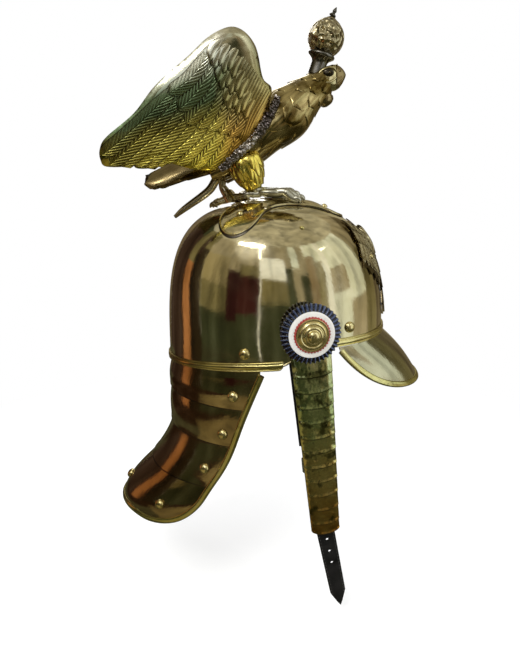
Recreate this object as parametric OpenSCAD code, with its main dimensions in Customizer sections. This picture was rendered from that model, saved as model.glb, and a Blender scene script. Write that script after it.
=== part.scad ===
// Brass guard helmet with an eagle crest, cockades and hinged chin scales.
// Frame: +X to the front, +Y to the wearer's left, +Z up, in millimetres.
// The origin is the centre of the head opening, level with the skull's rear edge.

/* [Skull] */
// Half length of the skull ahead of its centre
skull_front = 112; // [104:1:118]
// Half length of the skull behind its centre
skull_rear = 110; // [104:1:116]
// Half width of the skull
skull_side = 93; // [87:1:97]
// Height of the crown above the rear edge
skull_height = 154; // [146:1:162]
// Thickness of the sheet brass
sheet = 1.2; // [0.8:0.1:1.5]
// Height of the lower edge at the front
edge_front = 28; // [24:1:32]
// Height of the lower edge at the sides
edge_side = 12.4; // [8:0.2:15]
// Radius of the domed rivets
rivet_r = 5.2; // [3.5:0.1:6]
// Clearance between neighbouring pieces
gap = 0.3; // [0.2:0.05:0.4]

/* [Visor] */
// Reach of the visor ahead of its corners
visor_reach = 97; // [85:1:105]
// Height of the visor's rim at the middle
visor_tip_z = -22; // [-32:1:-12]
// Angle of the visor's corners round the skull
visor_half_angle = 60; // [54:1:62]
// Width of the visor's trim
visor_trim_w = 5.2; // [4:0.1:7]

/* [Neck guard] */
// Length of the flare at the back
guard_flare = 58; // [40:1:65]
// Half width of the guard
guard_side = 93.5; // [91:0.5:98]
// Lap of each plate over the next one
lap = 12; // [8:1:14]
// Step from each plate to the next one
lap_step = 1.8; // [1.7:0.1:2.4]
// Thickness of the guard's plates
plate = 1; // [0.7:0.1:1.1]
// Width of the guard's trim
guard_trim_w = 5.7; // [4:0.1:7]

/* [Crest] */
// Length of each lobe of the crest base from its middle
lobe_length = 75; // [64:1:80]
// Width of each lobe
lobe_width = 40; // [30:1:46]
// Swell of the crest base above its flange
base_swell = 3.2; // [1:0.2:4]
// Radius of the threaded stud
stud_r = 4; // [3:0.25:5]
// Spread of the wings from straight back
wing_yaw = 18; // [12:1:26]
// Lean of the wings outwards
wing_lean = 10; // [4:1:16]
// Radius of the crown's orb
orb_r = 17; // [14:0.5:20]

/* [Chin scales] */
// Distance of the cockade post ahead of the skull's centre
post_x = 28; // [22:1:32]
// Height of the cockade post
post_z = 46; // [43:1:50]
// Turn of the post's axis towards the front
post_yaw = 10; // [8:0.5:12]
// Radius of the post
post_r = 3; // [2:0.25:3.5]
// Forward lean of the chin scales
scale_lean = 6; // [0:0.5:10]
// Distance between one chin scale and the next
scale_pitch = 15.4; // [14:0.2:17]
// Width of the top chin scale
scale_w_top = 38; // [34:1:40]
// Width of the bottom chin scale
scale_w_end = 28; // [24:1:32]
// Thickness of the strap leather
leather = 2; // [1.4:0.1:2.4]
// Width of the leather tongue
tongue_w = 18; // [14:0.5:20]
// Length of the leather tongue below the scales
tongue_l = 92; // [70:1:110]
// Radius of the punched holes
punch_r = 1.5; // [1:0.1:2]

/* [Cockades] */
// Radius of the fluted outer ring
ring_r = 28; // [24:0.5:30]
// Radius of the middle ring
middle_r = 21; // [18:0.5:22]
// Radius of the inner disc
inner_r = 16.8; // [15.5:0.1:17.5]
// Radius of the boss's flange
boss_r = 15; // [12:0.25:15.25]
// Number of flutes
flutes = 44; // [36:1:52]

/* [Hidden] */

brass = "#c9a44c";
dark_brass = "#8a7434";
steel = "#9a9a92";
black_leather = "#1c1a19";
brown_leather = "#6a4a30";

// Skull surface. The angle t runs from the front (0) over the left side (90) to the back (180).
// Clearance of a piece that is fixed on another
fit = 0.05;
// Clearance of a piece that turns on another
running_fit = 0.08;
edge_rear = 0.5;
ear_front_angle = 74;
ear_rear_angle = 88;
power_mean = 3.15;
power_swing = 0.25;
function ease(v) = let (c = max(0, min(1, v))) c * c * (3 - 2 * c);
function turn(t) = abs(((t + 180) % 360 + 360) % 360 - 180);
function rear_edge_z(t) = edge_rear + (edge_side - edge_rear) * pow(max(0, 1 + cos(t)), 0.6);
function edge_z(t) = let (a = turn(t), b = (a - ear_front_angle) / (ear_rear_angle - ear_front_angle))
    a > ear_rear_angle ? rear_edge_z(a) : edge_front + (rear_edge_z(ear_rear_angle) - edge_front) * ease(b);
function skull_power(t) = power_mean - power_swing * cos(t);
function skull_a(t, off) = (cos(t) >= 0 ? skull_front : skull_rear) + off;
function shrink(t, z, off) = let (n = skull_power(t), u = max(0, min(1, z / (skull_height + off))))
    pow(1 - pow(u, n), 1 / n);
function skull_at(t, z, off = 0) = let (s = shrink(t, z, off))
    [skull_a(t, off) * s * cos(t), (skull_side + off) * s * sin(t), z];
function skull_rise(t, q, off) = let (n = skull_power(t),
    low = asin(pow(max(0, edge_z(t)) / (skull_height + off), n / 2)), f = low + (90 - low) * q)
    skull_at(t, (skull_height + off) * pow(sin(f), 2 / n), off);
// Height of the skull over a point of the plan
function skull_z(x, y, off = 0) = let (t = atan2(y, x), n = skull_power(t),
    s = min(1, norm([x / skull_a(t, off), y / (skull_side + off)])))
    (skull_height + off) * pow(max(0, 1 - pow(s, n)), 1 / n);
// Angle round the skull of the point with a given y or x at height z
function skull_t_of_x(x, z, k = 4) = k == 0 ? acos(x / skull_front)
    : acos(max(-1, min(1, x / (skull_a(x >= 0 ? 0 : 180, 0) * shrink(skull_t_of_x(x, z, k - 1), z, 0)))));
function unit(v) = v / norm(v);
nudge = 0.5;
function skull_normal(t, z) = let (a = skull_at(t - nudge, z), b = skull_at(t + nudge, z),
    c = skull_at(t, z - nudge), d = skull_at(t, z + nudge)) unit(cross(b - a, d - c));

// Sheet of two matching sets of rows, or one swept ring of rows
function strip(a, b, n, wrap) = [for (i = [0 : n - (wrap ? 1 : 2)])
    let (j = (i + 1) % n) each [[a + i, b + i, a + j], [a + j, b + i, b + j]]];
function reversed(v) = [for (i = [len(v) - 1 : -1 : 0]) v[i]];
module sheet_solid(outer, inner, wrap = false) {
    rows = concat(outer, reversed(inner));
    m = len(rows);
    n = len(rows[0]);
    k = len(outer);
    around = [for (r = [0 : m - 1]) each strip(r * n, ((r + 1) % m) * n, n, wrap)];
    ends = wrap ? [] : [for (r = [0 : k - 2]) let (o = r * n, p = (r + 1) * n,
        i = (m - 1 - r) * n, j = (m - 2 - r) * n, e = n - 1) each
        [[o, i, j], [o, j, p], [o + e, j + e, i + e], [o + e, p + e, j + e]]];
    polyhedron([for (r = rows) each r], concat(around, ends), convexity = 8);
}
module closed_dome(outer, inner, top_out, top_in) {
    rows = concat(reversed(inner), outer);
    n = len(rows[0]);
    m = len(rows);
    points = concat([for (r = rows) each r], [top_out, top_in]);
    around = [for (r = [0 : m - 2]) each strip(r * n, (r + 1) * n, n, true)];
    caps = [for (i = [0 : n - 1]) let (j = (i + 1) % n, o = (m - 1) * n) each
        [[o + i, m * n, o + j], [j, m * n + 1, i]]];
    polyhedron(points, concat(around, caps), convexity = 8);
}
module loft(rings) {
    n = len(rings[0]);
    m = len(rings);
    around = [for (r = [0 : m - 2]) each strip(r * n, (r + 1) * n, n, true)];
    caps = [[for (i = [0 : n - 1]) i], [for (i = [n - 1 : -1 : 0]) (m - 1) * n + i]];
    polyhedron([for (r = rings) each r], concat(around, caps), convexity = 4);
}
// Tube of oval rings along a path: side is the half width across, rise the half height
function path_dir(p, i) = unit(p[min(i + 1, len(p) - 1)] - p[max(i - 1, 0)]);
function oval(c, d, up, side, rise, n) = let (a = unit(cross(up, d)), b = cross(d, a))
    [for (i = [0 : n - 1]) c + a * side * cos(360 * i / n) + b * rise * sin(360 * i / n)];
module tube(p, side, rise, up = [0, 0, 1], n = 10) {
    loft([for (i = [0 : len(p) - 1]) oval(p[i], path_dir(p, i), up, side[i], rise[i], n)]);
}
// Local +Z along v, at p
module aim(p, v) {
    translate(p) rotate([0, acos(v[2] / norm(v)), atan2(v[1], v[0])]) children();
}
module both_sides() {
    children();
    mirror([0, 1, 0]) children();
}

// Skull
skull_cols = 64;
skull_rows = 13;
module skull_shell(off) {
    angles = [for (i = [0 : skull_cols - 1]) 360 * i / skull_cols];
    function rows(o) = [for (r = [0 : skull_rows - 1]) [for (t = angles) skull_rise(t, r / skull_rows, o)]];
    closed_dome(rows(off), rows(off - sheet), [0, 0, skull_height + off], [0, 0, skull_height + off - sheet]);
}
rivet_rear_x = -29;
rivet_rear_z = 24;
rivet_front_x = 68;
rivet_front_z = 45;
skull_rivet_places = [[rivet_rear_x, rivet_rear_z], [rivet_front_x, rivet_front_z]];
shank_r = 1.6;
module at_skull(x, z) {
    t = skull_t_of_x(x, z);
    aim(skull_at(-t, z), skull_normal(-t, z)) children();
}
module drill(r) {
    cylinder(h = 18, r = r, center = true, $fn = 24);
}
shank_hole_r = shank_r + gap / 2;
module skull_holes() {
    both_sides() for (p = skull_rivet_places) at_skull(p[0], p[1]) drill(shank_hole_r);
}
module skull() {
    color(brass) difference() {
        skull_shell(0);
        skull_holes();
        both_sides() post_frame() rotate([90, 0, 0]) drill(post_r + gap);
        for (p = badge_studs) badge_place(p) drill(shank_hole_r);
        for (a = lobe_angles) lobe_place(a) drill(shank_hole_r);
        cylinder(h = 2 * skull_height, r = stud_r + gap, $fn = 48);
    }
}

// Domed rivet: head outside, shank through, washer inside, round a thickness of grip
module dome_head(r) {
    rise = 0.72 * r;
    ball = (r * r + rise * rise) / (2 * rise);
    intersection() {
        translate([0, 0, rise - ball]) sphere(r = ball, $fn = 48);
        cylinder(h = r, r = r, $fn = 48);
    }
}
washer_t = 1;
module rivet(r, grip) {
    translate([0, 0, gap]) dome_head(r);
    translate([0, 0, -grip - washer_t]) {
        cylinder(h = grip + washer_t + gap, r = shank_r, $fn = 24);
        cylinder(h = washer_t, r = 0.75 * r, $fn = 32);
    }
}
band_off = 4.4;
band_leather = 2.2;
module skull_rivets() {
    color(brass) both_sides() for (p = skull_rivet_places) at_skull(p[0], p[1])
        rivet(rivet_r, sheet + band_off + band_leather + gap);
}
pin_r = 2.2;
pin_x = 23;
pin_y = 62;
module skull_pins() {
    color(dark_brass) both_sides() translate([0, 0, gap]) aim([pin_x, -pin_y, skull_z(pin_x, pin_y)],
        skull_normal(-70, 135)) dome_head(pin_r);
}

// Visor
visor_top_z = edge_front - 2 * gap;
visor_edge_angle = visor_half_angle - 1.5;
visor_corner = skull_at(visor_half_angle, visor_top_z);
visor_drop_power = 4;
visor_crown = 2.2;
function visor_rim(t) = let (a = 90 * t / visor_half_angle)
    [visor_corner[0] + visor_reach * cos(a), visor_corner[1] * sin(a),
    visor_tip_z + (visor_top_z - visor_tip_z) * pow(abs(a) / 90, visor_drop_power)];
function visor_mid(t, k) = let (p = skull_at(t, visor_top_z), w = visor_crown * sin(180 * k) * cos(90 * t / visor_half_angle))
    p + (visor_rim(t) - p) * k + w * [cos(t), sin(t), 1];
function visor_normal(t, k) = let (a = visor_mid(t - nudge, k), b = visor_mid(t + nudge, k),
    c = visor_mid(t, k - 0.02), d = visor_mid(t, k + 0.02)) unit(cross(d - c, b - a));
function visor_at(t, k, off) = visor_mid(t, k) + visor_normal(t, k) * off;
function span(low, high, n) = [for (i = [0 : n]) low + (high - low) * i / n];
visor_cols = 44;
visor_rows = 6;
module visor() {
    angles = span(-visor_edge_angle, visor_edge_angle, visor_cols);
    last = 0.985;
    function rows(off) = [for (r = [0 : visor_rows]) let (k = last * (1 - r / visor_rows))
        [for (t = angles) visor_at(t, k, off)]];
    color(brass) sheet_solid(rows(0), rows(-sheet));
}
// Folded channel: p on the sheet's middle, v the sheet's normal, w pointing into the sheet.
// half is the clear half height inside it, width the whole width it shows
channel_wall = 0.8;
channel_gap = 0.35;
channel_lip = 0.7;
function channel_row(f, r, half, out, edge, back) = let (side = r < 3 ? -1 : 1, k = r < 3 ? r : 5 - r)
    f[0] + f[2] * (k == 0 ? edge : k == 1 ? -back : -channel_lip - out)
    + f[1] * side * (k == 2 ? half * 0.5 : half + out);
module channel(frames, half, width) {
    reach = width - channel_lip;
    function rows(out, back) = [for (r = [0 : 5]) [for (f = frames) channel_row(f, r, half, out, reach, back)]];
    sheet_solid(rows(channel_wall, channel_lip * 0.4), rows(0, 0));
}
module visor_trim() {
    frames = [for (t = span(-visor_edge_angle, visor_edge_angle, visor_cols))
        let (v = visor_normal(t, 0.98), p = visor_mid(t, 1) - v * sheet / 2,
            along = visor_rim(t + nudge) - visor_rim(t - nudge), w = unit(cross(v, along)))
        [p, v, w]];
    color(brass) channel(frames, sheet / 2 + channel_gap, visor_trim_w);
}
band_h = 7.5;
band_t = 1.7;
// Raised strip on the skull between two angles, from height function low to high
module strip_on_skull(a0, a1, cols, low, height) {
    function rows(off, fall) = [for (f = [0, 0.25, 0.75, 1]) [for (t = span(a0, a1, cols))
        skull_at(t, low(t) + f * height(t), off - (f == 0 || f == 1 ? fall : 0))]];
    sheet_solid(rows(gap + band_t, 0.9), rows(gap, 0));
}
module visor_band() {
    color(brass) strip_on_skull(-visor_half_angle - 2, visor_half_angle + 2, 48,
        function(t) edge_front, function(t) band_h);
}
rear_band_angle = 87;
rear_band_drop = 3.4;
rear_band_h = 6.6;
rear_band_h_side = 8.6;
module rear_band() {
    color(brass) strip_on_skull(rear_band_angle, 360 - rear_band_angle, 64,
        function(t) rear_edge_z(t) - rear_band_drop,
        function(t) rear_band_h + (rear_band_h_side - rear_band_h) * ease((1 + cos(t)) * 1.2));
}

// Neck guard. Plan ellipses about the origin, longer towards the flared tail
flare_start_z = -60;
flare_depth = 108;
flare_power = 1.3;
guard_a0 = skull_rear + 1;
function guard_a(z) = guard_a0
    + guard_flare * ease(pow(max(0, (flare_start_z - z) / flare_depth), flare_power));
function guard_mid(t, z) = [guard_a(z) * cos(t), guard_side * sin(t), z];
function guard_normal(t, z) = let (a = guard_mid(t - nudge, z), b = guard_mid(t + nudge, z),
    c = guard_mid(t, z - nudge), d = guard_mid(t, z + nudge)) unit(cross(b - a, d - c));
function guard_at(t, z, off) = guard_mid(t, z) + guard_normal(t, z) * off;
// Rim of the guard as angle and height, from the middle of the back to the top corner
guard_rim = [[180, -166], [166, -166], [152, -166.5], [141, -167], [131.5, -163], [124.5, -154],
    [120, -138], [117.2, -109], [107.5, -51], [96.5, 3]];
rim_last = len(guard_rim) - 1;
function rim_knot(i) = guard_rim[max(0, min(rim_last, i))];
function rim_at(w) = let (i = min(rim_last - 1, floor(w)), f = w - i,
    a = i == 0 ? [360 - rim_knot(1)[0], rim_knot(1)[1]] : rim_knot(i - 1),
    b = rim_knot(i), c = rim_knot(i + 1), d = rim_knot(i + 2))
    0.5 * (2 * b + (c - a) * f + (2 * a - 5 * b + 4 * c - d) * f * f + (3 * b - a - 3 * c + d) * f * f * f);
side_knots = [for (i = [rim_last : -1 : 5]) [guard_rim[i][1], guard_rim[i][0]]];
function side_angle(z) = lookup(z, [for (k = reversed(side_knots)) k]);
// How far the first plate reaches up inside the skull
lame_rise = 5;
lame_ends = [-31, -70, -116];
lame_bulge = 1.4;
lame_end_off = 0.3;
// Turn of the plates' sides back from the rim, inside the trim
side_tuck = 1.3;
function lame_start(i, t) = i == 0 ? rear_edge_z(t) + lame_rise : lame_ends[i - 1] + lap;
function lame_start_off(i) = lame_end_off - lap_step - (i == 0 ? sheet : 0);
function lame_off(i, f, hold) = lame_start_off(i) + (lame_end_off - lame_start_off(i)) * f
    + lame_bulge * sin(180 * max(0, f - hold) / (1 - hold));
lame_cols = 44;
module lame(i) {
    end = lame_ends[i];
    hold = lap / (lame_start(i, 180) - end);
    function side(f) = let (z = lame_start(i, 100) + (end - lame_start(i, 100)) * f) side_angle(z) + side_tuck;
    function rows(drop) = [for (f = [1, 0.75, 0.5, hold, 0]) [for (t = span(side(f), 360 - side(f), lame_cols))
        guard_at(t, lame_start(i, t) + (end - lame_start(i, t)) * f, lame_off(i, f, hold) - drop)]];
    sheet_solid(rows(0), rows(plate));
}
// Place on the rim, counted as its points are, where the last plate's sides begin
last_lame_side = 6.8;
last_lame_inset = 1.6;
module last_lame() {
    start = lame_start(3, 180);
    drop_z = start - guard_rim[0][1];
    hold = lap / drop_z;
    a = side_angle(start) + side_tuck;
    cols = 24;
    function low(u) = let (r = rim_at(abs(u) * last_lame_side)) [u < 0 ? 360 - r[0] : r[0], r[1]];
    function high(u) = [180 - u * (180 - a), start];
    function cell(u, f) = let (l = low(u), h = high(u),
        e = [l[0] + (180 - l[0]) * 0.02, l[1] + last_lame_inset]) h + (e - h) * f;
    function rows(drop) = [for (f = [1, 0.75, 0.5, 0.25, 0.12, 0]) [for (u = span(1, -1, 2 * cols))
        let (c = cell(u, f)) guard_at(c[0], c[1], lame_off(3, (start - c[1]) / drop_z, hold) - drop)]];
    sheet_solid(rows(0), rows(plate));
}
guard_rivet_places = [[111, -18], [117, -58], [125, -98], [137.5, -146]];
guard_rear_rivet_z = -147;
// Height of the plates' bulge over the guard's own surface at the rivets
rivet_seat = 1.1;
guard_grip = 3.9;
module guard_place(t, z) {
    aim(guard_at(t, z, rivet_seat), guard_normal(t, z)) children();
}
module at_guard_rivets() {
    both_sides() for (p = guard_rivet_places) guard_place(p[0], p[1]) children();
    guard_place(180, guard_rear_rivet_z) children();
}
module neck_lame(i) {
    color(brass) difference() {
        if (i < 3) lame(i);
        else last_lame();
        at_guard_rivets() drill(shank_hole_r);
    }
}
module neck_guard_rivets() {
    color(brass) at_guard_rivets() rivet(rivet_r, guard_grip);
}
// The trim's middle and clear half height, from the plates' inner and outer faces
trim_shift = -0.7;
guard_trim_half = 2.1;
module neck_guard_trim() {
    steps = 4;
    half_list = [for (i = [0 : steps * rim_last]) i / steps];
    list = concat([for (w = reversed(half_list)) [1, w]], [for (w = half_list) if (w > 0) [-1, w]]);
    function cell(s, w) = let (r = rim_at(w)) [s > 0 ? r[0] : 360 - r[0], r[1]];
    function place(s, w) = let (c = cell(s, w)) guard_at(c[0], c[1], trim_shift);
    frames = [for (k = list) let (s = k[0], w = k[1], c = cell(s, w), v = guard_normal(c[0], c[1]),
        low = max(0, w - 0.05), high = min(rim_last, w + 0.05),
        along = w == 0 ? place(-1, 0.05) - place(1, 0.05) : s * (place(s, low) - place(s, high)),
        q = unit(cross(v, along)))
        [place(s, w), v, q]];
    color(brass) channel(frames, guard_trim_half, guard_trim_w);
}

// Front plate: a spread eagle badge laid on the skull
badge_gap = 0.5;
badge_t = 1.6;
// Right half of the badge from its top to its tail, as side and share of the skull's height
badge_half = [[0, 0.883], [5, 0.903], [9, 0.877], [17, 0.851], [27, 0.909], [29, 0.864], [31, 0.818],
    [38, 0.766], [40, 0.721], [45, 0.688], [49, 0.63], [43, 0.623], [41, 0.578], [34, 0.591], [33, 0.532],
    [27, 0.558], [25, 0.494], [19, 0.506], [15, 0.442], [21, 0.37], [14, 0.344], [17, 0.286], [8, 0.299],
    [0, 0.253]];
badge_bottom = 0.22;
module badge_outline() {
    polygon(concat([for (p = badge_half) [p[0], skull_height * p[1]]],
        [for (p = reversed(badge_half)) [-p[0], skull_height * p[1]]]));
}
module front_slab() {
    cols = 40;
    rows = 14;
    side = 62;
    bottom_z = skull_height * badge_bottom;
    top_angle = 82;
    function face(o) = [for (k = [0 : rows]) [for (t = span(-side, side, cols)) let (n = skull_power(t),
        low = asin(pow(bottom_z / (skull_height + o), n / 2)), f = low + (top_angle - low) * k / rows)
        skull_at(t, (skull_height + o) * pow(sin(f), 2 / n), o)]];
    sheet_solid(face(badge_gap + badge_t), face(badge_gap));
}
module front_plate() {
    color(brass) difference() {
        intersection() {
            front_slab();
            rotate([90, 0, 90]) linear_extrude(height = 2 * skull_front) badge_outline();
        }
        for (p = badge_studs) badge_place(p) drill(shank_r + fit);
    }
}
badge_studs = [for (p = [[0, 0.39], [-30, 0.675], [30, 0.675]]) [p[0], skull_height * p[1]]];
function badge_t_of_y(y, z, k = 4) = k == 0 ? asin(y / skull_side)
    : asin(max(-1, min(1, y / (skull_side * shrink(badge_t_of_y(y, z, k - 1), z, 0)))));
module badge_place(p) {
    t = badge_t_of_y(p[0], p[1]);
    aim(skull_at(t, p[1]), skull_normal(t, p[1])) children();
}
badge_head_r = 2.6;
badge_nut_t = 1.8;
// Room for the skull's curve under a nut
badge_nut_gap = 0.9;
module front_plate_studs() {
    head_z = badge_gap + badge_t + gap;
    nut_z = -sheet - badge_nut_gap - badge_nut_t;
    color(dark_brass) for (p = badge_studs) badge_place(p) {
        translate([0, 0, head_z]) dome_head(badge_head_r);
        translate([0, 0, nut_z]) cylinder(h = head_z - nut_z, r = shank_r, $fn = 24);
        translate([0, 0, nut_z]) cylinder(h = badge_nut_t, r = 2 * shank_r, $fn = 6);
    }
}

// Crest base: three lobes that follow the skull, the first to the front
base_x = -6;
socket_r = 15;
base_t = 1.2;
flange_start = 0.84;
waist_r = 30;
waist_trim = 1.9;
swell_run = 0.3;
function lobe_reach(a) = let (d = abs(((a + 60) % 120 + 120) % 120 - 60), w = lobe_width / 2,
    c = lobe_length - w,
    arm = d < atan2(w, c) ? c * cos(d) + sqrt(max(0, w * w - pow(c * sin(d), 2))) : w / sin(d))
    pow(pow(arm, 4) + pow(waist_r, 4), 0.25) - waist_trim;
function base_z(x, y) = let (q = norm([x - base_x, y]) / lobe_reach(atan2(y, x - base_x)))
    skull_z(x, y) + gap + base_t + base_swell * ease((flange_start - q) / swell_run);
module crest_base() {
    cols = 72;
    edge_roll = 0.5;
    angles = [for (i = [0 : cols - 1]) 360 * i / cols];
    function xy(a, f) = let (inner = (socket_r + gap) * [cos(a), sin(a)],
        outer = [base_x, 0] + lobe_reach(a) * [cos(a), sin(a)]) inner + (outer - inner) * f;
    function rows(drop, roll) = [for (f = [1, 0.95, 0.8, 0.67, 0.5, 0.25, 0]) [for (a = angles)
        let (p = xy(a, f)) [p[0], p[1], base_z(p[0], p[1]) - drop - (f == 1 ? roll : 0)]]];
    color(brass) difference() {
        sheet_solid(rows(0, edge_roll), rows(base_t, 0), true);
        for (a = lobe_angles) lobe_place(a) drill(shank_hole_r);
    }
}
lobe_angles = [0, 120, 240];
lobe_rivet_reach = 0.74;
module lobe_place(a) {
    r = lobe_length * lobe_rivet_reach;
    x = base_x + r * cos(a);
    y = r * sin(a);
    d = [1, 0, (base_z(x + 1, y) - base_z(x - 1, y)) / 2];
    e = [0, 1, (base_z(x, y + 1) - base_z(x, y - 1)) / 2];
    aim([x, y, base_z(x, y)], cross(d, e)) children();
}
lobe_rivet_r = 3.2;
// Thickness the lobes' rivets grip: the base's sheet with some swell, and the skull's
lobe_grip = base_t + sheet + 4 * gap + 0.6;
module crest_base_rivets() {
    color(brass) for (a = lobe_angles) lobe_place(a) rivet(lobe_rivet_r, lobe_grip);
}
socket_lip = 1.6;
socket_top = skull_height + gap + base_t + base_swell + 0.9;
module crest_socket() {
    body_z = skull_height + gap;
    color(brass) difference() {
        union() {
            translate([0, 0, body_z]) cylinder(h = socket_top - body_z, r = socket_r - 3, $fn = 64);
            translate([0, 0, socket_top - socket_lip]) cylinder(h = socket_lip, r = socket_r, $fn = 64);
        }
        cylinder(h = 2 * skull_height, r = stud_r + gap, $fn = 48);
    }
}

// Eagle. Its shape is drawn at its place on the usual socket, and moves with the socket's top
eagle_z = socket_top + gap;
drawn_eagle_z = 159.9;
lift = eagle_z - drawn_eagle_z;
module eagle_body() {
    spine = [[-64, 0, 182], [-48, 0, 190], [-28, 0, 206], [-9, 0, 225], [11.4, 0, 239.1], [26, 0, 251.9],
        [37, 0, 260.3], [47, 0, 268.2], [55, 0, 271]];
    color(dark_brass) translate([0, 0, lift]) tube(spine, [9, 16, 24, 27, 25, 18.5, 13.5, 11.5, 8],
        [7, 12, 18, 23, 24.4, 18.5, 14.5, 12, 10.5], n = 16);
}
// Blunt upper beak, and the rounded lower beak under it
module eagle_beak() {
    path = [[52, 0, 270.2], [58, 0, 270.8], [61, 0, 271.2], [63.5, 0, 272], [65.5, 0, 272.7], [66.4, 0, 273]];
    lower_beak = [47.5, 0, 252.4];
    lower_beak_r = 8;
    color(dark_brass) translate([0, 0, lift]) {
        tube(path, [8, 7, 5.8, 4.4, 2.6, 1.2], [11.6, 11.2, 9.2, 6.3, 3.3, 1.4], n = 12);
        hull() {
            translate(lower_beak) sphere(r = lower_beak_r, $fn = 12);
            translate(path[0] - [0, 0, lower_beak_r]) sphere(r = lower_beak_r / 2, $fn = 12);
        }
    }
}
// Feather outline: rounded sides that close to a blunt point
function leaf_side(l, w, side) = [for (i = [0 : 5]) [side * w / 2 * sin(35 + 25 * i), l * i / 5.5]];
function leaf(l, w) = concat(leaf_side(l, w, 1), [[0, l]], reversed(leaf_side(l, w, -1)));
shoulder = [-6, -24, 235];
module wing_frame() {
    translate(shoulder) rotate([0, 0, wing_yaw]) rotate([wing_lean, 0, 0]) children();
}
// Outline of the wing in its own plane, from the shoulder over the wrist to the tip
wing_outline = [[0, 21], [-9, 31], [-15, 51], [-20, 60], [-28, 67], [-38, 70], [-49, 67], [-62, 59],
    [-76, 46], [-105, 21], [-124, -2], [-148, -22], [-154, -32], [-154, -41], [-149, -47], [-126, -46],
    [-109, -39], [-100, -41], [-76, -48], [-51, -49], [-28, -31], [-8, -8]];
wing_t = 4;
// Row of feathers from the wrist down: count, root, length, angle, relief over the wing
module feather_row(count, root, long, shorter, angle, step, w, relief) {
    for (i = [0 : count - 1]) translate([root[0] - 1.5 * i, 0.6 - wing_t, root[1] - step * i])
        rotate([90, 0, 0]) rotate([0, 0, angle - 1.5 * i])
        linear_extrude(height = relief + 0.06 * i) polygon(leaf(long - shorter * i, w));
}
module wing() {
    wing_frame() {
        rotate([90, 0, 0]) linear_extrude(height = wing_t) polygon(wing_outline);
        feather_row(9, [-34, 38], 108, 6, 123, 8.5, 17, 1.8);
        feather_row(8, [-24, 46], 62, 7, 107, 8, 15, 3.4);
    }
}
module eagle_wing_right() {
    color(dark_brass) translate([0, 0, lift]) wing();
}
module eagle_wing_left() {
    mirror([0, 1, 0]) eagle_wing_right();
}
tail_root = [-50, 0, 196];
tail_l = 80;
tail_feather_w = 20;
tail_pitch = 12;
// Turn from each tail feather to the next one, and how far it rolls down at the side
tail_spread = 8;
tail_roll = 12;
module eagle_tail() {
    color(dark_brass) translate([0, 0, lift]) translate(tail_root) rotate([0, tail_pitch, 180])
        for (a = [-3 : 3]) rotate([-a * tail_roll, 0, 0]) rotate([0, 0, a * tail_spread - 90])
        linear_extrude(height = 3.2) polygon(leaf(tail_l - abs(a) * 2, tail_feather_w));
}
module tail_spur() {
    path = [[-57, 0, 180], [-64, 0, 168.5], [-72, 0, 161.5], [-83, 0, 154], [-93, 0, 147], [-101, 0, 140.5]];
    r = [4.3, 4.2, 4, 3.6, 3, 1.8];
    color(dark_brass) translate([0, 0, lift]) tube(path, r, r, n = 10);
}
module link(a, ra, b, rb) {
    hull() {
        translate(a) sphere(r = ra, $fn = 10);
        translate(b) sphere(r = rb, $fn = 10);
    }
}
toe_clear = 1.2;
// Room round the socket's lip within which a foot stands at the lip's level
lip_room = 2;
function stand_z(x, y, r) = norm([x, y]) < socket_r + r + lip_room ? socket_top + gap : base_z(x, y);
function on_base(x, y, r) = [x, y, stand_z(x, y, r) + r * 1.04 + toe_clear];
module toe(x, y, dx, dy, r) {
    link(on_base(x, y, r), r, on_base(x + dx * 0.6, y + dy * 0.6, r), r);
    link(on_base(x + dx * 0.6, y + dy * 0.6, r), r, on_base(x + dx, y + dy, 1.4), 1.2);
}
module leg(hip, knee, ankle, heel, r) {
    link(hip, r, (hip + knee) / 2, r * 0.8);
    link((hip + knee) / 2, r * 0.8, knee, 5);
    link(knee, 4.6, ankle, 4);
    link(ankle, 4, heel, 4.4);
}
module foot(x, y, reach) {
    for (s = [-13, 0, 13]) toe(x, y, reach - abs(s) * 0.6, s, 3.4);
    toe(x, y, -18, 0, 3.2);
}
foot_front = [-10, -15];
foot_back = [-46, 14];
heel_r = 4.4;
// Radius of the cast block over the left foot
shoe_r = 6.5;
function lifted(v) = v + [0, 0, lift];
module eagle_leg_right() {
    heel = on_base(foot_front[0], foot_front[1], heel_r);
    color(steel) {
        leg(lifted([-25, -15, 191]), lifted([-17, -16, 170]), lifted([-14, -15, 167]), heel, 15);
        foot(foot_front[0], foot_front[1], 36);
    }
}
module eagle_leg_left() {
    heel = on_base(foot_back[0], foot_back[1], heel_r);
    color(steel) {
        leg(lifted([-44, 12, 187]), lifted([-53, 14, 176]), lifted([-53, 14, 168]), heel, 9);
        link(lifted([-53, 14, 168]), heel_r, on_base(foot_back[0], foot_back[1], shoe_r), shoe_r);
        foot(foot_back[0], foot_back[1], 26);
    }
}
plinth_h = 2.6;
plinth_r = 11;
module eagle_plinth() {
    color(steel) difference() {
        translate([0, 0, eagle_z]) cylinder(h = plinth_h, r = plinth_r, $fn = 48);
        cylinder(h = 2 * skull_height, r = stud_r + fit, $fn = 48);
    }
}
// Length of the stud below the crown of the skull
stud_drop = 14;
module eagle_stud() {
    bottom = skull_height - stud_drop;
    color(steel) translate([0, 0, bottom]) cylinder(h = eagle_z + plinth_h - bottom, r = stud_r, $fn = 48);
}
nut_h = 5;
module eagle_nut() {
    color(steel) translate([0, 0, skull_height - sheet - gap - nut_h]) difference() {
        cylinder(h = nut_h, r = 2 * stud_r + 1, $fn = 6);
        cylinder(h = 3 * nut_h, r = stud_r + running_fit, center = true, $fn = 48);
    }
}
crown_seat = [40, 0, 280];
crown_tilt = 15;
module crown_frame() {
    translate([0, 0, lift]) translate(crown_seat) rotate([0, crown_tilt, 0]) children();
}
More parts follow.
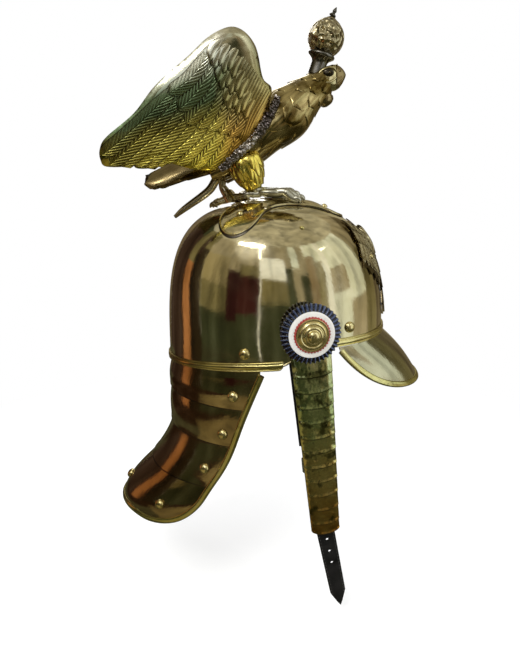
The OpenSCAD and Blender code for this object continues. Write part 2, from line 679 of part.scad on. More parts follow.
// Stem in the head and collar under the orb, as radius and height over the seat
collar_profile = [[0, -7], [8, -7], [7.4, 2.5], [7.8, 6], [11, 8.4], [12.8, 10], [12.8, 11.4], [11.2, 12.6],
    [0, 12.6]];
collar_top = 12.6;
// Angles of the orb under and over its middle between which it is round
orb_low = 50;
orb_high = 46;
// Top of the orb over its middle, as shares of its radius
orb_top = 1.1;
orb_top_r = 3.2;
orb_middle = collar_top + fit + orb_r * sin(orb_low);
finial_lean = 12;
finial_pin_r = 1.4;
finial_profile = [[0, -4], [finial_pin_r, -4], [finial_pin_r, 0.8], [3, 0.8], [3.4, 1.8], [2.2, 3], [1.4, 4],
    [2, 5.4], [1.6, 6.8], [0.6, 8.8], [0, 9.4]];
module finial_frame() {
    crown_frame() translate([0, 0, orb_middle + orb_r * orb_top]) rotate([0, finial_lean, 0]) children();
}
module crown_stem() {
    color(steel) crown_frame() rotate_extrude($fn = 48) polygon(collar_profile);
}
module crown_orb() {
    low = orb_r * sin(orb_low);
    high = orb_r * orb_top;
    color(brass) difference() {
        crown_frame() translate([0, 0, orb_middle]) rotate_extrude($fn = 64)
            polygon(concat([[0, -low]], [for (a = [-orb_low : 12 : orb_high]) orb_r * [cos(a), sin(a)]],
            [[orb_r * 0.56, orb_r * 0.86], [orb_top_r + 1.6, high - 1.6], [orb_top_r, high], [0, high]]));
        finial_frame() translate([0, 0, -4.4]) cylinder(h = 6, r = finial_pin_r + fit, $fn = 32);
    }
}
module crown_finial() {
    color(brass) finial_frame() rotate_extrude($fn = 32) polygon(finial_profile);
}

// Cockade and chin scales. Local frame at the post: +X forward along the skull, -Y outwards
post_t = skull_t_of_x(post_x, post_z);
post_base = skull_at(-post_t, post_z);
module post_frame() {
    translate(post_base) rotate([0, 0, post_yaw]) children();
}
module turned(from, to, r, bore = 0) {
    rotate([90, 0, 0]) translate([0, 0, from]) difference() {
        cylinder(h = to - from, r = r, $fn = 72);
        if (bore > 0) translate([0, 0, -1]) cylinder(h = to - from + 2, r = bore, $fn = 48);
    }
}
// Depths outwards from the skull: strap, scales, then the cockade's rings
back_of_strap = 2.4;
strap_front = back_of_strap + leather;
scale_rise = 3;
scale_tilt = 1.6;
scale_t = 0.8;
ring_back = strap_front + gap + scale_rise + 2.4;
ring_t = 3.6;
middle_t = 1.5;
disc_t = 1.2;
middle_back = ring_back + ring_t;
disc_back = middle_back + middle_t;
boss_back = disc_back + disc_t;
post_nut_r = 6;
post_nut_t = 3;
post_collar_r = post_r + 2.4;
post_end = boss_back + 4;
module post_piece() {
    nut_back = -sheet - 0.8 - post_nut_t;
    color(steel) post_frame() {
        turned(nut_back, post_end, post_r);
        turned(nut_back, nut_back + post_nut_t, post_nut_r);
        turned(gap + 0.1, back_of_strap - gap, post_collar_r);
        turned(strap_front + gap, ring_back - fit, post_collar_r);
    }
}
module post_right() {
    post_piece();
}
module post_left() {
    mirror([0, 1, 0]) post_piece();
}
function flute_points(r, n, depth) = [for (i = [0 : 2 * n - 1])
    (i % 2 == 0 ? r : r - depth) * [cos(180 * i / n), sin(180 * i / n)]];
module cockade_ring(tint) {
    color(tint) post_frame() rotate([90, 0, 0]) translate([0, 0, ring_back]) difference() {
        union() {
            linear_extrude(height = ring_t * 0.45) polygon(flute_points(ring_r, flutes, 1.6));
            linear_extrude(height = ring_t * 0.75) polygon(flute_points(ring_r - 2, flutes, 1.4));
            cylinder(h = ring_t, r = middle_r + 1.5, $fn = 72);
        }
        translate([0, 0, -1]) cylinder(h = ring_t + 2, r = post_r + fit, $fn = 48);
    }
}
module cockade_middle(tint) {
    color(tint) post_frame() turned(middle_back, middle_back + middle_t, middle_r, post_r + fit);
}
disc_teeth = 36;
disc_tooth = 0.8;
module cockade_disc(tint) {
    color(tint) post_frame() rotate([90, 0, 0]) translate([0, 0, disc_back]) difference() {
        linear_extrude(height = disc_t) polygon(flute_points(inner_r, disc_teeth, disc_tooth));
        translate([0, 0, -1]) cylinder(h = disc_t + 2, r = post_r + fit, $fn = 48);
    }
}
module boss() {
    color(brass) post_frame() rotate([90, 0, 0]) translate([0, 0, boss_back]) difference() {
        rotate_extrude($fn = 72) polygon([[0, 0], [boss_r, 0], [boss_r, 0.8], [boss_r - 3.4, 1.6],
            [boss_r - 3.6, 2.6], [boss_r - 4.6, 3.2], [boss_r - 5.8, 2.6], [boss_r - 8, 3.6],
            [4.4, 6], [2.2, 7.4], [0, 8]]);
        translate([0, 0, -1]) cylinder(h = post_end - boss_back + 1.2, r = post_r + fit, $fn = 48);
    }
}
// Strap frame: hangs down -Z from the post, leaning forward
module strap_frame() {
    post_frame() rotate([0, -scale_lean, 0]) children();
}
scale_top = 22;
scale_count = 12;
scale_overlap = 5;
strap_end = scale_top + scale_count * scale_pitch;
function strap_w(d) = scale_w_top
    + (scale_w_end - scale_w_top) * max(0, d - scale_top) / (strap_end - scale_top);
// Hanger: an eye on the post, with a tail riveted on the front of the leather
hanger_r = 12;
hanger_tail_w = 14;
hanger_tail_end = 37;
hanger_tail_t = 0.8;
hanger_rivet_x = 4.5;
hanger_rivet_depth = 30;
module hanger_rivets(r, from, to) {
    for (side = [-1, 1]) translate([side * hanger_rivet_x, 0, -hanger_rivet_depth]) turned(from, to, r);
}
module hanger_tail() {
    tail_top = post_collar_r + 2 * gap;
    difference() {
        translate([-hanger_tail_w / 2, -strap_front - hanger_tail_t, -hanger_tail_end])
            cube([hanger_tail_w, hanger_tail_t, hanger_tail_end - tail_top]);
        translate([0, 0, -scale_pin_depth(0)]) turned(strap_front - 1, ring_back, scale_pin_r + fit);
    }
}
module scale_hanger() {
    color(brass) strap_frame() {
        turned(back_of_strap, strap_front, hanger_r, post_r + running_fit);
        hanger_tail();
        hanger_rivets(shank_r, back_of_strap, strap_front + hanger_tail_t / 2);
    }
}
scale_x = [-0.5, -0.36, -0.14, 0.14, 0.36, 0.5];
scale_h = [0.5, 2.3, 3, 3, 2.3, 0.5];
scale_curl = 2.2;
// Pin that holds each scale on the leather, as a share of the scale's length from its top
scale_pin_r = 1.5;
scale_pin_at = 0.4;
function scale_long(k) = scale_pitch + (k == scale_count - 1 ? 0 : scale_overlap);
function scale_pin_depth(k) = scale_top + k * scale_pitch + scale_pin_at * scale_long(k);
function scale_out(h, f) = strap_front + gap + h * scale_rise / 3 + scale_tilt * f;
module chin_scale(k) {
    top = scale_top + k * scale_pitch;
    long = scale_long(k);
    function rows(cut) = [for (f = [1, 0.5, 0]) [for (i = [0 : 5]) let (d = top + f * long,
        curl = f * scale_curl * pow(abs(2 * scale_x[i]), 3)) [strap_w(d) * scale_x[i],
        cut - scale_out(scale_h[i], f), -d + curl]]];
    sheet_solid(rows(0), rows(scale_t));
    translate([0, 0, -scale_pin_depth(k)])
        turned(back_of_strap, scale_out(3, scale_pin_at) - scale_t / 2, scale_pin_r);
}
module leather_run(from, to, round_top) {
    w0 = strap_w(from);
    w1 = strap_w(to);
    translate([0, -back_of_strap, 0]) rotate([90, 0, 0]) linear_extrude(height = leather)
        polygon([[-w0 / 2, -from], [w0 / 2, -from], [w1 / 2, -to], [-w1 / 2, -to]]);
    if (round_top) translate([0, -back_of_strap - leather / 2, -from]) rotate([0, 90, 0])
        cylinder(h = w0, r = leather / 2, center = true, $fn = 32);
}
hinge_gap = leather / 2 + gap;
flex_scales = [4, 8];
function flex_depth(i) = scale_top + flex_scales[i] * scale_pitch;
module scale_run(first, last, from, to, round_top) {
    color(brass) strap_frame() for (k = [first : last]) chin_scale(k);
    color(black_leather) strap_frame() leather_run(from, to, round_top);
}
module scales_upper() {
    difference() {
        scale_run(0, 3, hanger_r + gap, flex_depth(0) - hinge_gap, false);
        strap_frame() hanger_rivets(shank_r + fit, back_of_strap - 1, strap_front + 0.2);
    }
}
module scales_middle() {
    scale_run(4, 7, flex_depth(0), flex_depth(1) - hinge_gap, true);
}
leather_end = strap_end - 2;
module scales_lower() {
    scale_run(8, 11, flex_depth(1), leather_end, true);
}
// Leather tongue hung under the last scale, leaning a little more than the strap
tongue_lean = 6;
tongue_start = leather_end + hinge_gap + tongue_w / 2 * sin(tongue_lean);
tongue_holes = 3;
hole_pitch = 14;
first_hole = 10;
tongue_point_l = 18;
tongue_taper = 1;
// Cylinder across the strap, through the local origin
module across(length, r) {
    rotate([0, 90, 0]) cylinder(h = length, r = r, center = true, $fn = 48);
}
module tongue_right() {
    half = tongue_w / 2;
    color(black_leather) strap_frame() translate([0, -back_of_strap - leather / 2, -tongue_start])
        rotate([0, -tongue_lean, 0]) difference() {
            union() {
                rotate([90, 0, 0]) linear_extrude(height = leather, center = true) polygon([[-half, 0],
                    [half, 0], [half - tongue_taper, tongue_point_l - tongue_l], [0, -tongue_l],
                    [tongue_taper - half, tongue_point_l - tongue_l]]);
                across(tongue_w, leather / 2);
            }
            for (i = [0 : tongue_holes - 1]) translate([0, 0, -first_hole - i * hole_pitch])
                turned(-leather, leather, punch_r);
        }
}
// Buckle on the left: a leather tab looped round the frame's bar, and the prong on the same bar
tab_l = 16;
tab_loop_t = 1.6;
bar_r = 1.3;
frame_w = tongue_w + 5;
frame_h = 20;
prong_w = 3;
prong_t = 1;
prong_hub_t = 1.2;
prong_side_gap = 0.5;
prong_over = 0.6;
tab_start = leather_end + hinge_gap;
bar_depth = tab_start + tab_l;
module buckle_place(depth) {
    mirror([0, 1, 0]) strap_frame() translate([0, -back_of_strap - leather / 2, -depth]) children();
}
module buckle_tab_left() {
    slot_low = bar_r + 3;
    slot_w = prong_w + 2 * prong_side_gap;
    color(black_leather) difference() {
        union() {
            buckle_place(bar_depth) translate([-tongue_w / 2, -leather / 2, 0])
                cube([tongue_w, leather, tab_l]);
            buckle_place(tab_start) across(tongue_w, leather / 2);
            buckle_place(bar_depth) across(tongue_w, bar_r + tab_loop_t);
        }
        buckle_place(bar_depth) across(tongue_w + 2, bar_r + running_fit);
        buckle_place(bar_depth) translate([-slot_w / 2, -slot_low, -slot_low])
            cube([slot_w, 2 * slot_low, 2 * slot_low - bar_r]);
    }
}
module rod(a, b) {
    aim(a, b - a) cylinder(h = norm(b - a), r = bar_r, $fn = 32);
    translate(a) sphere(r = bar_r, $fn = 32);
}
module buckle_frame_left() {
    half = frame_w / 2;
    corners = [[-half, 0, 0], [half, 0, 0], [half, 0, -frame_h], [-half, 0, -frame_h]];
    color(steel) buckle_place(bar_depth) for (i = [0 : 3]) rod(corners[i], corners[(i + 1) % 4]);
}
module buckle_prong_left() {
    prong_l = frame_h + bar_r + prong_over;
    color(steel) buckle_place(bar_depth) difference() {
        union() {
            across(prong_w, bar_r + prong_hub_t);
            translate([-prong_w / 2, -bar_r - prong_hub_t, -prong_l]) cube([prong_w, prong_t, prong_l]);
        }
        across(prong_w + 2, bar_r + running_fit);
    }
}

// Liner
sweat_top = 72;
sweat_rise = 6;
module sweatband() {
    angles = [for (i = [0 : 59]) 6 * i];
    function rows(off) = [for (z = [0, 0.5, 1]) [for (t = angles) let (low = edge_z(t) + sweat_rise)
        skull_at(t, low + (sweat_top - low) * z, off)]];
    color(brown_leather) difference() {
        sheet_solid(rows(-sheet - band_off), rows(-sheet - band_off - band_leather), true);
        skull_holes();
    }
}
liner_count = 10;
liner_t = 1.6;
liner_off = sheet + band_off + band_leather + gap;
liner_root_z = sweat_top - 10;
liner_tip_angle = 81;
liner_side_gap = 1.6;
module liner_tongue(a) {
    half = 180 / liner_count - liner_side_gap;
    function row(f, o) = let (n = skull_power(a), h = skull_height - o,
        low = asin(pow(liner_root_z / h, n / 2)), g = low + (liner_tip_angle - low) * f,
        w = half * (f > 0.75 ? 1 - 2.2 * (f - 0.75) : 1))
        [for (t = [a - w, a, a + w]) skull_at(t, h * pow(sin(g), 2 / n), -o)];
    function rows(o) = [for (i = [0 : 7]) row(i / 7, o)];
    sheet_solid(rows(liner_off), rows(liner_off + liner_t));
}
module liner_tongues() {
    color(brown_leather) for (i = [0 : liner_count - 1]) liner_tongue(360 * (i + 0.5) / liner_count);
}

skull();
skull_rivets();
skull_pins();
visor();
visor_trim();
visor_band();
rear_band();
neck_lame(0);  // neck_lame_1
neck_lame(1);  // neck_lame_2
neck_lame(2);  // neck_lame_3
neck_lame(3);  // neck_lame_4
neck_guard_trim();
neck_guard_rivets();
front_plate();
front_plate_studs();
crest_base();
crest_base_rivets();
crest_socket();
eagle_body();
eagle_beak();
eagle_wing_right();
eagle_wing_left();
eagle_tail();
tail_spur();
eagle_leg_right();
eagle_leg_left();
eagle_plinth();
eagle_stud();
eagle_nut();
crown_stem();
crown_orb();
crown_finial();
post_right();
post_left();
cockade_ring("#15151c");  // cockade_ring_right
mirror([0, 1, 0]) cockade_ring("#15151c");  // cockade_ring_left
cockade_middle("#e8e4dc");  // cockade_middle_right
mirror([0, 1, 0]) cockade_middle("#e8e4dc");  // cockade_middle_left
cockade_disc("#a02a20");  // cockade_disc_right
mirror([0, 1, 0]) cockade_disc("#15151c");  // cockade_disc_left
boss();  // boss_right
mirror([0, 1, 0]) boss();  // boss_left
scale_hanger();  // scale_hanger_right
mirror([0, 1, 0]) scale_hanger();  // scale_hanger_left
scales_upper();  // scales_upper_right
mirror([0, 1, 0]) scales_upper();  // scales_upper_left
scales_middle();  // scales_middle_right
mirror([0, 1, 0]) scales_middle();  // scales_middle_left
scales_lower();  // scales_lower_right
mirror([0, 1, 0]) scales_lower();  // scales_lower_left
tongue_right();
buckle_tab_left();
buckle_frame_left();
buckle_prong_left();
sweatband();
liner_tongues();
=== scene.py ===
import math

import bmesh
import bpy
from mathutils import Matrix, Vector, noise


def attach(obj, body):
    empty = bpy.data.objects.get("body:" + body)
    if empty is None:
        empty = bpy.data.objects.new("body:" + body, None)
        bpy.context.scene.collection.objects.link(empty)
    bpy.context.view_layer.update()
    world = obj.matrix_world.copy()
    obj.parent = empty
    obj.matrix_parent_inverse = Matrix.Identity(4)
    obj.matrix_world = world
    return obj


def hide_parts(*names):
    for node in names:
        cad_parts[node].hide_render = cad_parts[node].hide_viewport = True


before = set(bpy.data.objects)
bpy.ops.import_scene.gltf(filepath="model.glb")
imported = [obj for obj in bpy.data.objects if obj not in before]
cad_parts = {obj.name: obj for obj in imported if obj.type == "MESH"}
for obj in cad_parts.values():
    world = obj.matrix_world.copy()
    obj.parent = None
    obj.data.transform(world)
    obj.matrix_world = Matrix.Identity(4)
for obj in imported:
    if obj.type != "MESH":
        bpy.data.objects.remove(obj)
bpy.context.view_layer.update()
UNIT = 0.001  # the shapes below are drawn in millimetres


# Small sums
def ease(v):
    c = max(0.0, min(1.0, v))
    return c * c * (3 - 2 * c)


def mix(a, b, f):
    return a + (b - a) * f


def cosd(a):
    return math.cos(math.radians(a))


def sind(a):
    return math.sin(math.radians(a))


def turned(degrees, axis):
    return Matrix.Rotation(math.radians(degrees), 4, axis)


def between(a, b, c, d, g):
    """Smooth curve from b to c, g from 0 to 1, where a comes before b and d after c."""
    return (b * 2 + (c - a) * g + (a * 2 - b * 5 + c * 4 - d) * g ** 2
            + (b * 3 - a - c * 3 + d) * g ** 3) * 0.5


def curve_at(points, f):
    """Smooth curve through the points, f from 0 to 1. Points are numbers or Vectors."""
    last = len(points) - 1
    w = max(0.0, min(1.0, f)) * last
    i = min(last - 1, int(w))
    b, c = points[i], points[i + 1]
    a = points[i - 1] if i > 0 else b * 2 - c
    d = points[i + 2] if i + 2 <= last else c * 2 - b
    return between(a, b, c, d, w - i)


def profile_at(stops, x):
    """Straight lines between (x, y) stops."""
    for (x0, y0), (x1, y1) in zip(stops, stops[1:]):
        if x <= x1:
            return mix(y0, y1, (x - x0) / (x1 - x0)) if x1 > x0 else y1
    return stops[-1][1]


# Nodes of the materials
def feed(tree, node, inputs):
    """Gives a node's inputs, by name or number, a value, a colour or another node's output."""
    for key, value in inputs.items():
        socket = node.inputs[key]
        if isinstance(value, bpy.types.NodeSocket):
            tree.links.new(value, socket)
        else:
            socket.default_value = (*value, 1) if socket.type == "RGBA" else value
    return node


def add_node(tree, kind, inputs=None):
    return feed(tree, tree.nodes.new("ShaderNode" + kind), inputs or {})


def new_finish(name):
    m = bpy.data.materials.new(name)
    m.use_nodes = True
    tree = m.node_tree
    tree.nodes.clear()
    shader = add_node(tree, "BsdfPrincipled")
    add_node(tree, "OutputMaterial", {0: shader.outputs[0]})
    return m, tree, shader


def place_node(tree, scale=(1, 1, 1), turn=(0, 0, 0)):
    """Place on the object in metres, turned and scaled."""
    where = add_node(tree, "TexCoord").outputs["Object"]
    return add_node(tree, "Mapping", {0: where, "Scale": scale, "Rotation": turn}).outputs[0]


def noise_node(tree, where, scale, detail, rough, warp=0.0):
    n = add_node(tree, "TexNoise", {"Scale": scale, "Detail": detail, "Roughness": rough, "Distortion": warp})
    return feed(tree, n, {"Vector": where}).outputs["Fac"]


def ramp_node(tree, value, stops):
    r = add_node(tree, "ValToRGB", {0: value})
    marks = r.color_ramp.elements
    while len(marks) < len(stops):
        marks.new(0.5)
    for mark, (at, colour) in zip(marks, stops):
        mark.position = at
        mark.color = (*colour, 1)
    return r.outputs[0]


def grey_ramp(tree, value, stops):
    return ramp_node(tree, value, [(at, (g, g, g)) for at, g in stops])


def sum_node(tree, kind, a, b=0.0):
    n = add_node(tree, "Math", {0: a, 1: b})
    n.operation = kind
    return n.outputs[0]


def shifted(tree, value, more, times):
    """(value + more) * times."""
    return sum_node(tree, "MULTIPLY", sum_node(tree, "ADD", value, more), times)


def part_of(tree, value, axis):
    return add_node(tree, "SeparateXYZ", {0: value}).outputs[axis]


def map_node(tree):
    """The shape's own UV map."""
    n = add_node(tree, "UVMap")
    n.uv_map = "UVMap"
    return n.outputs[0]


def blend_colours(tree, kind, factor, a, b):
    n = add_node(tree, "Mix")
    n.data_type = "RGBA"
    n.blend_type = kind
    return feed(tree, n, {0: factor, 6: a, 7: b}).outputs[2]


def bump_node(tree, height, strength, distance, under=None):
    b = add_node(tree, "Bump", {"Height": height, "Strength": strength, "Distance": distance})
    if under is not None:
        feed(tree, b, {"Normal": under})
    return b.outputs[0]


# Metals
DIRT = (0.05, 0.035, 0.02)


def metal(name, low, high, rough, wave=0.0, wave_scale=9.0, scratch=0.0, dirt=0.0):
    """Metal whose tint drifts between two colours, with smudges, soft waves and fine scratches."""
    m, tree, shader = new_finish(name)
    where = place_node(tree)
    tint = ramp_node(tree, noise_node(tree, where, 14.0, 4.0, 0.6, 0.4), [(0.3, low), (0.7, high)])
    if dirt > 0:
        spots = noise_node(tree, where, 95.0, 6.0, 0.7, 0.5)
        mask = grey_ramp(tree, spots, [(0.62 - 0.2 * dirt, 0.0), (0.8, 0.7)])
        tint = blend_colours(tree, "MIX", mask, tint, DIRT)
    smudge = noise_node(tree, where, 38.0, 5.0, 0.62, 0.8)
    level = grey_ramp(tree, smudge, [(0.35, rough[0]), (0.72, rough[1])])
    feed(tree, shader, {"Base Color": tint, "Metallic": 1.0, "Roughness": level})
    normal = None
    if wave > 0:
        normal = bump_node(tree, noise_node(tree, where, wave_scale, 1.5, 0.45), wave, 0.02)
    if scratch > 0:
        drawn = place_node(tree, (60.0, 700.0, 220.0), (0.3, 0.5, 0.2))
        normal = bump_node(tree, noise_node(tree, drawn, 1.0, 2.0, 0.5), scratch, 0.0006, normal)
    if normal is not None:
        feed(tree, shader, {"Normal": normal})
    return m


polished = metal("polished brass", (0.64, 0.56, 0.34), (0.86, 0.80, 0.58), (0.06, 0.15), 0.30, 8.0, 0.08)
guard_brass = metal("guard brass", (0.37, 0.28, 0.15), (0.60, 0.50, 0.30), (0.08, 0.18), 0.30, 9.0, 0.12)
visor_brass = metal("visor brass", (0.46, 0.43, 0.29), (0.72, 0.70, 0.52), (0.08, 0.18), 0.30, 9.0, 0.10)
base_brass = metal("crest base brass", (0.50, 0.42, 0.22), (0.76, 0.68, 0.44), (0.06, 0.16), 0.20, 10.0, 0.08)
trim_brass = metal("trim brass", (0.62, 0.58, 0.20), (0.92, 0.88, 0.46), (0.14, 0.28), 0.05, 20.0, 0.08, 0.3)
band_brass = metal("band brass", (0.62, 0.54, 0.20), (0.92, 0.84, 0.44), (0.14, 0.28), 0.05, 20.0, 0.10, 0.3)
rivet_brass = metal("rivet brass", (0.78, 0.66, 0.30), (0.96, 0.86, 0.50), (0.16, 0.28))
silvered = metal("silvered metal", (0.30, 0.30, 0.24), (0.58, 0.57, 0.48), (0.28, 0.42), dirt=0.3)
crown_dark = metal("dark silvered collar", (0.10, 0.10, 0.09), (0.30, 0.29, 0.27), (0.12, 0.30), dirt=0.4)
steel = metal("bright steel", (0.46, 0.46, 0.45), (0.62, 0.62, 0.60), (0.22, 0.36))


def hammered_finish():
    """Brass beaten all over: shallow facets from a cell pattern."""
    m, tree, shader = new_finish("hammered brass")
    where = place_node(tree)
    drift = noise_node(tree, where, 30.0, 4.0, 0.6, 0.4)
    cells = add_node(tree, "TexVoronoi", {"Scale": 210.0, "Vector": where})
    cells.feature = "SMOOTH_F1"
    feed(tree, cells, {"Smoothness": 0.35})
    tint = ramp_node(tree, drift, [(0.3, (0.34, 0.29, 0.17)), (0.7, (0.72, 0.65, 0.44))])
    feed(tree, shader, {"Base Color": tint,
                        "Metallic": 1.0,
                        "Roughness": grey_ramp(tree, drift, [(0.35, 0.14), (0.7, 0.26)]),
                        "Normal": bump_node(tree, cells.outputs["Distance"], 0.9, 0.0036)})
    return m


def beaten_finish():
    """Beaten brass of the chin scales: tints change down the strap as painted reflections, with dark spots in
    the hollows.
    """
    m, tree, shader = new_finish("beaten scale brass")
    where = place_node(tree)
    drift = noise_node(tree, where, 70.0, 4.0, 0.6, 0.4)
    height = shifted(tree, part_of(tree, where, "Z"), 0.165, 5.0)
    tint = ramp_node(tree, sum_node(tree, "ADD", height, shifted(tree, drift, -0.5, 0.5)), SCALE_REFLECTION_ZONES)
    hollow = grey_ramp(tree, noise_node(tree, where, 75.0, 3.0, 0.6), [(0.36, 0.8), (0.46, 0.0)])
    dents = noise_node(tree, where, 130.0, 1.0, 0.4)
    feed(tree, shader, {"Base Color": blend_colours(tree, "MIX", hollow, tint, SCALE_HOLLOW),
                        "Metallic": 1.0,
                        "Roughness": grey_ramp(tree, drift, [(0.35, 0.12), (0.7, 0.24)]),
                        "Normal": bump_node(tree, dents, 0.45, 0.0020)})
    return m


# painted reflections: orange-brown at the foot of the strap, then golden, olive and green, pale at the top
SCALE_REFLECTION_ZONES = [(0.0, (0.50, 0.26, 0.06)), (0.16, (0.58, 0.40, 0.13)), (0.34, (0.68, 0.55, 0.22)),
               (0.50, (0.64, 0.60, 0.26)), (0.66, (0.50, 0.60, 0.28)), (0.85, (0.46, 0.54, 0.28)),
               (1.0, (0.80, 0.78, 0.46))]
SCALE_HOLLOW = (0.07, 0.07, 0.02)
hammered = hammered_finish()
scale_finish = beaten_finish()


# Cast brass
def reflection_tint(tree, where, drift, zones):
    """Painted reflections and highlights: colours by a slanting height, from a wing's lower edge to its top:
    zones are the stops at the rear and those at the shoulder."""
    slant = add_node(tree, "VectorMath", {0: where, 1: (-1.84, 0, 5.0)})
    slant.operation = "DOT_PRODUCT"
    height = sum_node(tree, "ADD", slant.outputs["Value"], sum_node(tree, "MULTIPLY", drift, 0.12))
    height = sum_node(tree, "SUBTRACT", height, 0.945)
    near = sum_node(tree, "ADD", part_of(tree, where, "X"), sum_node(tree, "MULTIPLY", drift, 0.02))
    near = sum_node(tree, "ADD", near, sum_node(tree, "MULTIPLY", height, -0.012))
    near = grey_ramp(tree, shifted(tree, near, 0.075, 10.0), [(0.24, 0.0), (0.42, 1.0)])
    rear, shoulder = (ramp_node(tree, height, stops) for stops in zones)
    shade = grey_ramp(tree, drift, [(0.3, 0.80), (0.7, 1.0)])
    return blend_colours(tree, "MULTIPLY", 1.0, blend_colours(tree, "MIX", near, rear, shoulder), shade)


def feather_cuts(tree, where, barbs):
    """Painted shade in the cut lines on a feather's UV map, and their bump. With barbs at 0 only its edges
    are darkened, as painted shade between feathers.
    """
    place = map_node(tree)
    across = sum_node(tree, "ABSOLUTE", sum_node(tree, "SUBTRACT", part_of(tree, place, 0), 0.5))
    dark = grey_ramp(tree, across, [(0.40, 0.0), (0.48, 0.85)])
    if barbs == 0:
        return dark, None
    slant = sum_node(tree, "ADD", part_of(tree, place, 1), sum_node(tree, "MULTIPLY", across, 0.42))
    wave = sum_node(tree, "SINE", sum_node(tree, "MULTIPLY", slant, barbs))
    spine = grey_ramp(tree, across, [(0.0, 0.0), (0.02, 0.0), (0.05, 1.0)])
    line = sum_node(tree, "MULTIPLY", shifted(tree, wave, 1.0, 0.5), spine)
    cut = sum_node(tree, "MULTIPLY", grey_ramp(tree, line, [(0.06, 0.85), (0.30, 0.0)]), spine)
    # the painted shade in the cut lines is weaker in places
    groove_shade_share = grey_ramp(tree, noise_node(tree, where, 55.0, 2.0, 0.5), [(0.40, 0.15), (0.60, 1.0)])
    dark = sum_node(tree, "MAXIMUM", dark, sum_node(tree, "MULTIPLY", cut, groove_shade_share))
    return dark, bump_node(tree, line, 0.75, 0.0006)


def casting(name, low, high, groove, barbs=None, rough=(0.13, 0.24), zones=None, worn=0.3, spread=22.0):
    """Cast brass with dark patches, and painted shade in feather cut lines. barbs is for feathers,
    and zones of painted reflections take the place of low and high.
    """
    m, tree, shader = new_finish(name)
    where = place_node(tree)
    drift = noise_node(tree, where, spread, 3.0, 0.5, 0.3)
    if zones:
        tint = reflection_tint(tree, where, drift, zones)
    else:
        tint = ramp_node(tree, drift, [(0.36, low), (0.64, high)])
    patina = grey_ramp(tree, noise_node(tree, where, 34.0, 4.0, 0.6, 0.6), [(0.55, 0.0), (0.78, worn)])
    tint = blend_colours(tree, "MIX", patina, tint, groove)
    normal = None
    if barbs is not None:
        # painted shade in the cut lines and between feathers
        dark, normal = feather_cuts(tree, where, barbs)
        tint = blend_colours(tree, "MIX", dark, tint, groove)
    grain = noise_node(tree, where, 130.0, 3.0, 0.5)
    feed(tree, shader, {"Base Color": tint,
                        "Metallic": 1.0,
                        "Roughness": grey_ramp(tree, grain, [(0.35, rough[0]), (0.7, rough[1])]),
                        "Normal": bump_node(tree, grain, 0.035, 0.0008, normal)})
    return m


# painted reflections and highlights on the wings: yellow low down, a dark green band, near-white above
WING_REFLECTION_ZONES = ([(0.0, (1.0, 0.66, 0.03)), (0.16, (1.0, 0.84, 0.10)), (0.31, (1.0, 0.88, 0.20)),
               (0.37, (0.40, 0.35, 0.08)), (0.45, (0.11, 0.16, 0.08)), (0.53, (0.17, 0.24, 0.13)),
               (0.60, (0.84, 0.86, 0.72)), (0.72, (0.98, 0.97, 0.86)), (1.0, (0.66, 0.64, 0.46))],
              [(0.0, (0.95, 0.58, 0.04)), (0.18, (0.86, 0.50, 0.08)), (0.30, (0.70, 0.44, 0.11)),
               (0.40, (0.50, 0.43, 0.18)), (0.52, (0.40, 0.37, 0.19)), (0.66, (0.66, 0.62, 0.44)),
               (0.80, (0.70, 0.66, 0.50)), (0.92, (0.46, 0.42, 0.26)), (1.0, (0.66, 0.62, 0.44))])
PATINA_AND_SHADE = (0.035, 0.028, 0.012)
cast_plain = casting("cast brass", (0.38, 0.31, 0.13), (0.80, 0.73, 0.46), PATINA_AND_SHADE, worn=0.6, spread=60.0)
cast_body = casting("cast body brass", (0.15, 0.105, 0.028), (0.56, 0.46, 0.22), PATINA_AND_SHADE, 0.0, worn=0.75,
                    spread=46.0)
# the wing, its feathers and its coverts carry the painted reflections by height
cast_wing = casting("cast wing brass", None, None, PATINA_AND_SHADE, zones=WING_REFLECTION_ZONES)
cast_feather = casting("cast feather brass", None, None, PATINA_AND_SHADE, 82.0, (0.20, 0.34), WING_REFLECTION_ZONES, 0.4)
cast_covert = casting("cast soft feather brass", None, None, PATINA_AND_SHADE, 0.0, (0.16, 0.28), WING_REFLECTION_ZONES, 0.5)
cast_tail = casting("cast tail brass", (0.20, 0.15, 0.07), (0.36, 0.29, 0.15), (0.08, 0.06, 0.04), worn=0.4)
cast_tan = casting("cast tan brass", (0.56, 0.50, 0.36), (0.74, 0.68, 0.52), (0.16, 0.13, 0.09))
cast_plume = casting("cast plume brass", (0.84, 0.66, 0.08), (0.98, 0.86, 0.26), (0.10, 0.07, 0.01), 0.0)
# painted shade: the dark colour of the beaded seam between wing and body
seam_silver_shade = casting("rough silver seam in painted shade", (0.13, 0.11, 0.11), (0.40, 0.37, 0.34), (0.03, 0.025, 0.025),
                      worn=0.8, spread=50.0)
# dark joints between the neck lames, and painted shade and shadow: lines under the scales and the crest base,
# patches in the eye hollows
joint_and_shade_dark = casting("dark joints and painted shade", (0.05, 0.045, 0.035), (0.12, 0.10, 0.08), (0.02, 0.016, 0.012))
plate_feather = casting("badge feather brass", (0.58, 0.50, 0.28), (0.80, 0.72, 0.48), (0.12, 0.09, 0.05),
                        60.0)


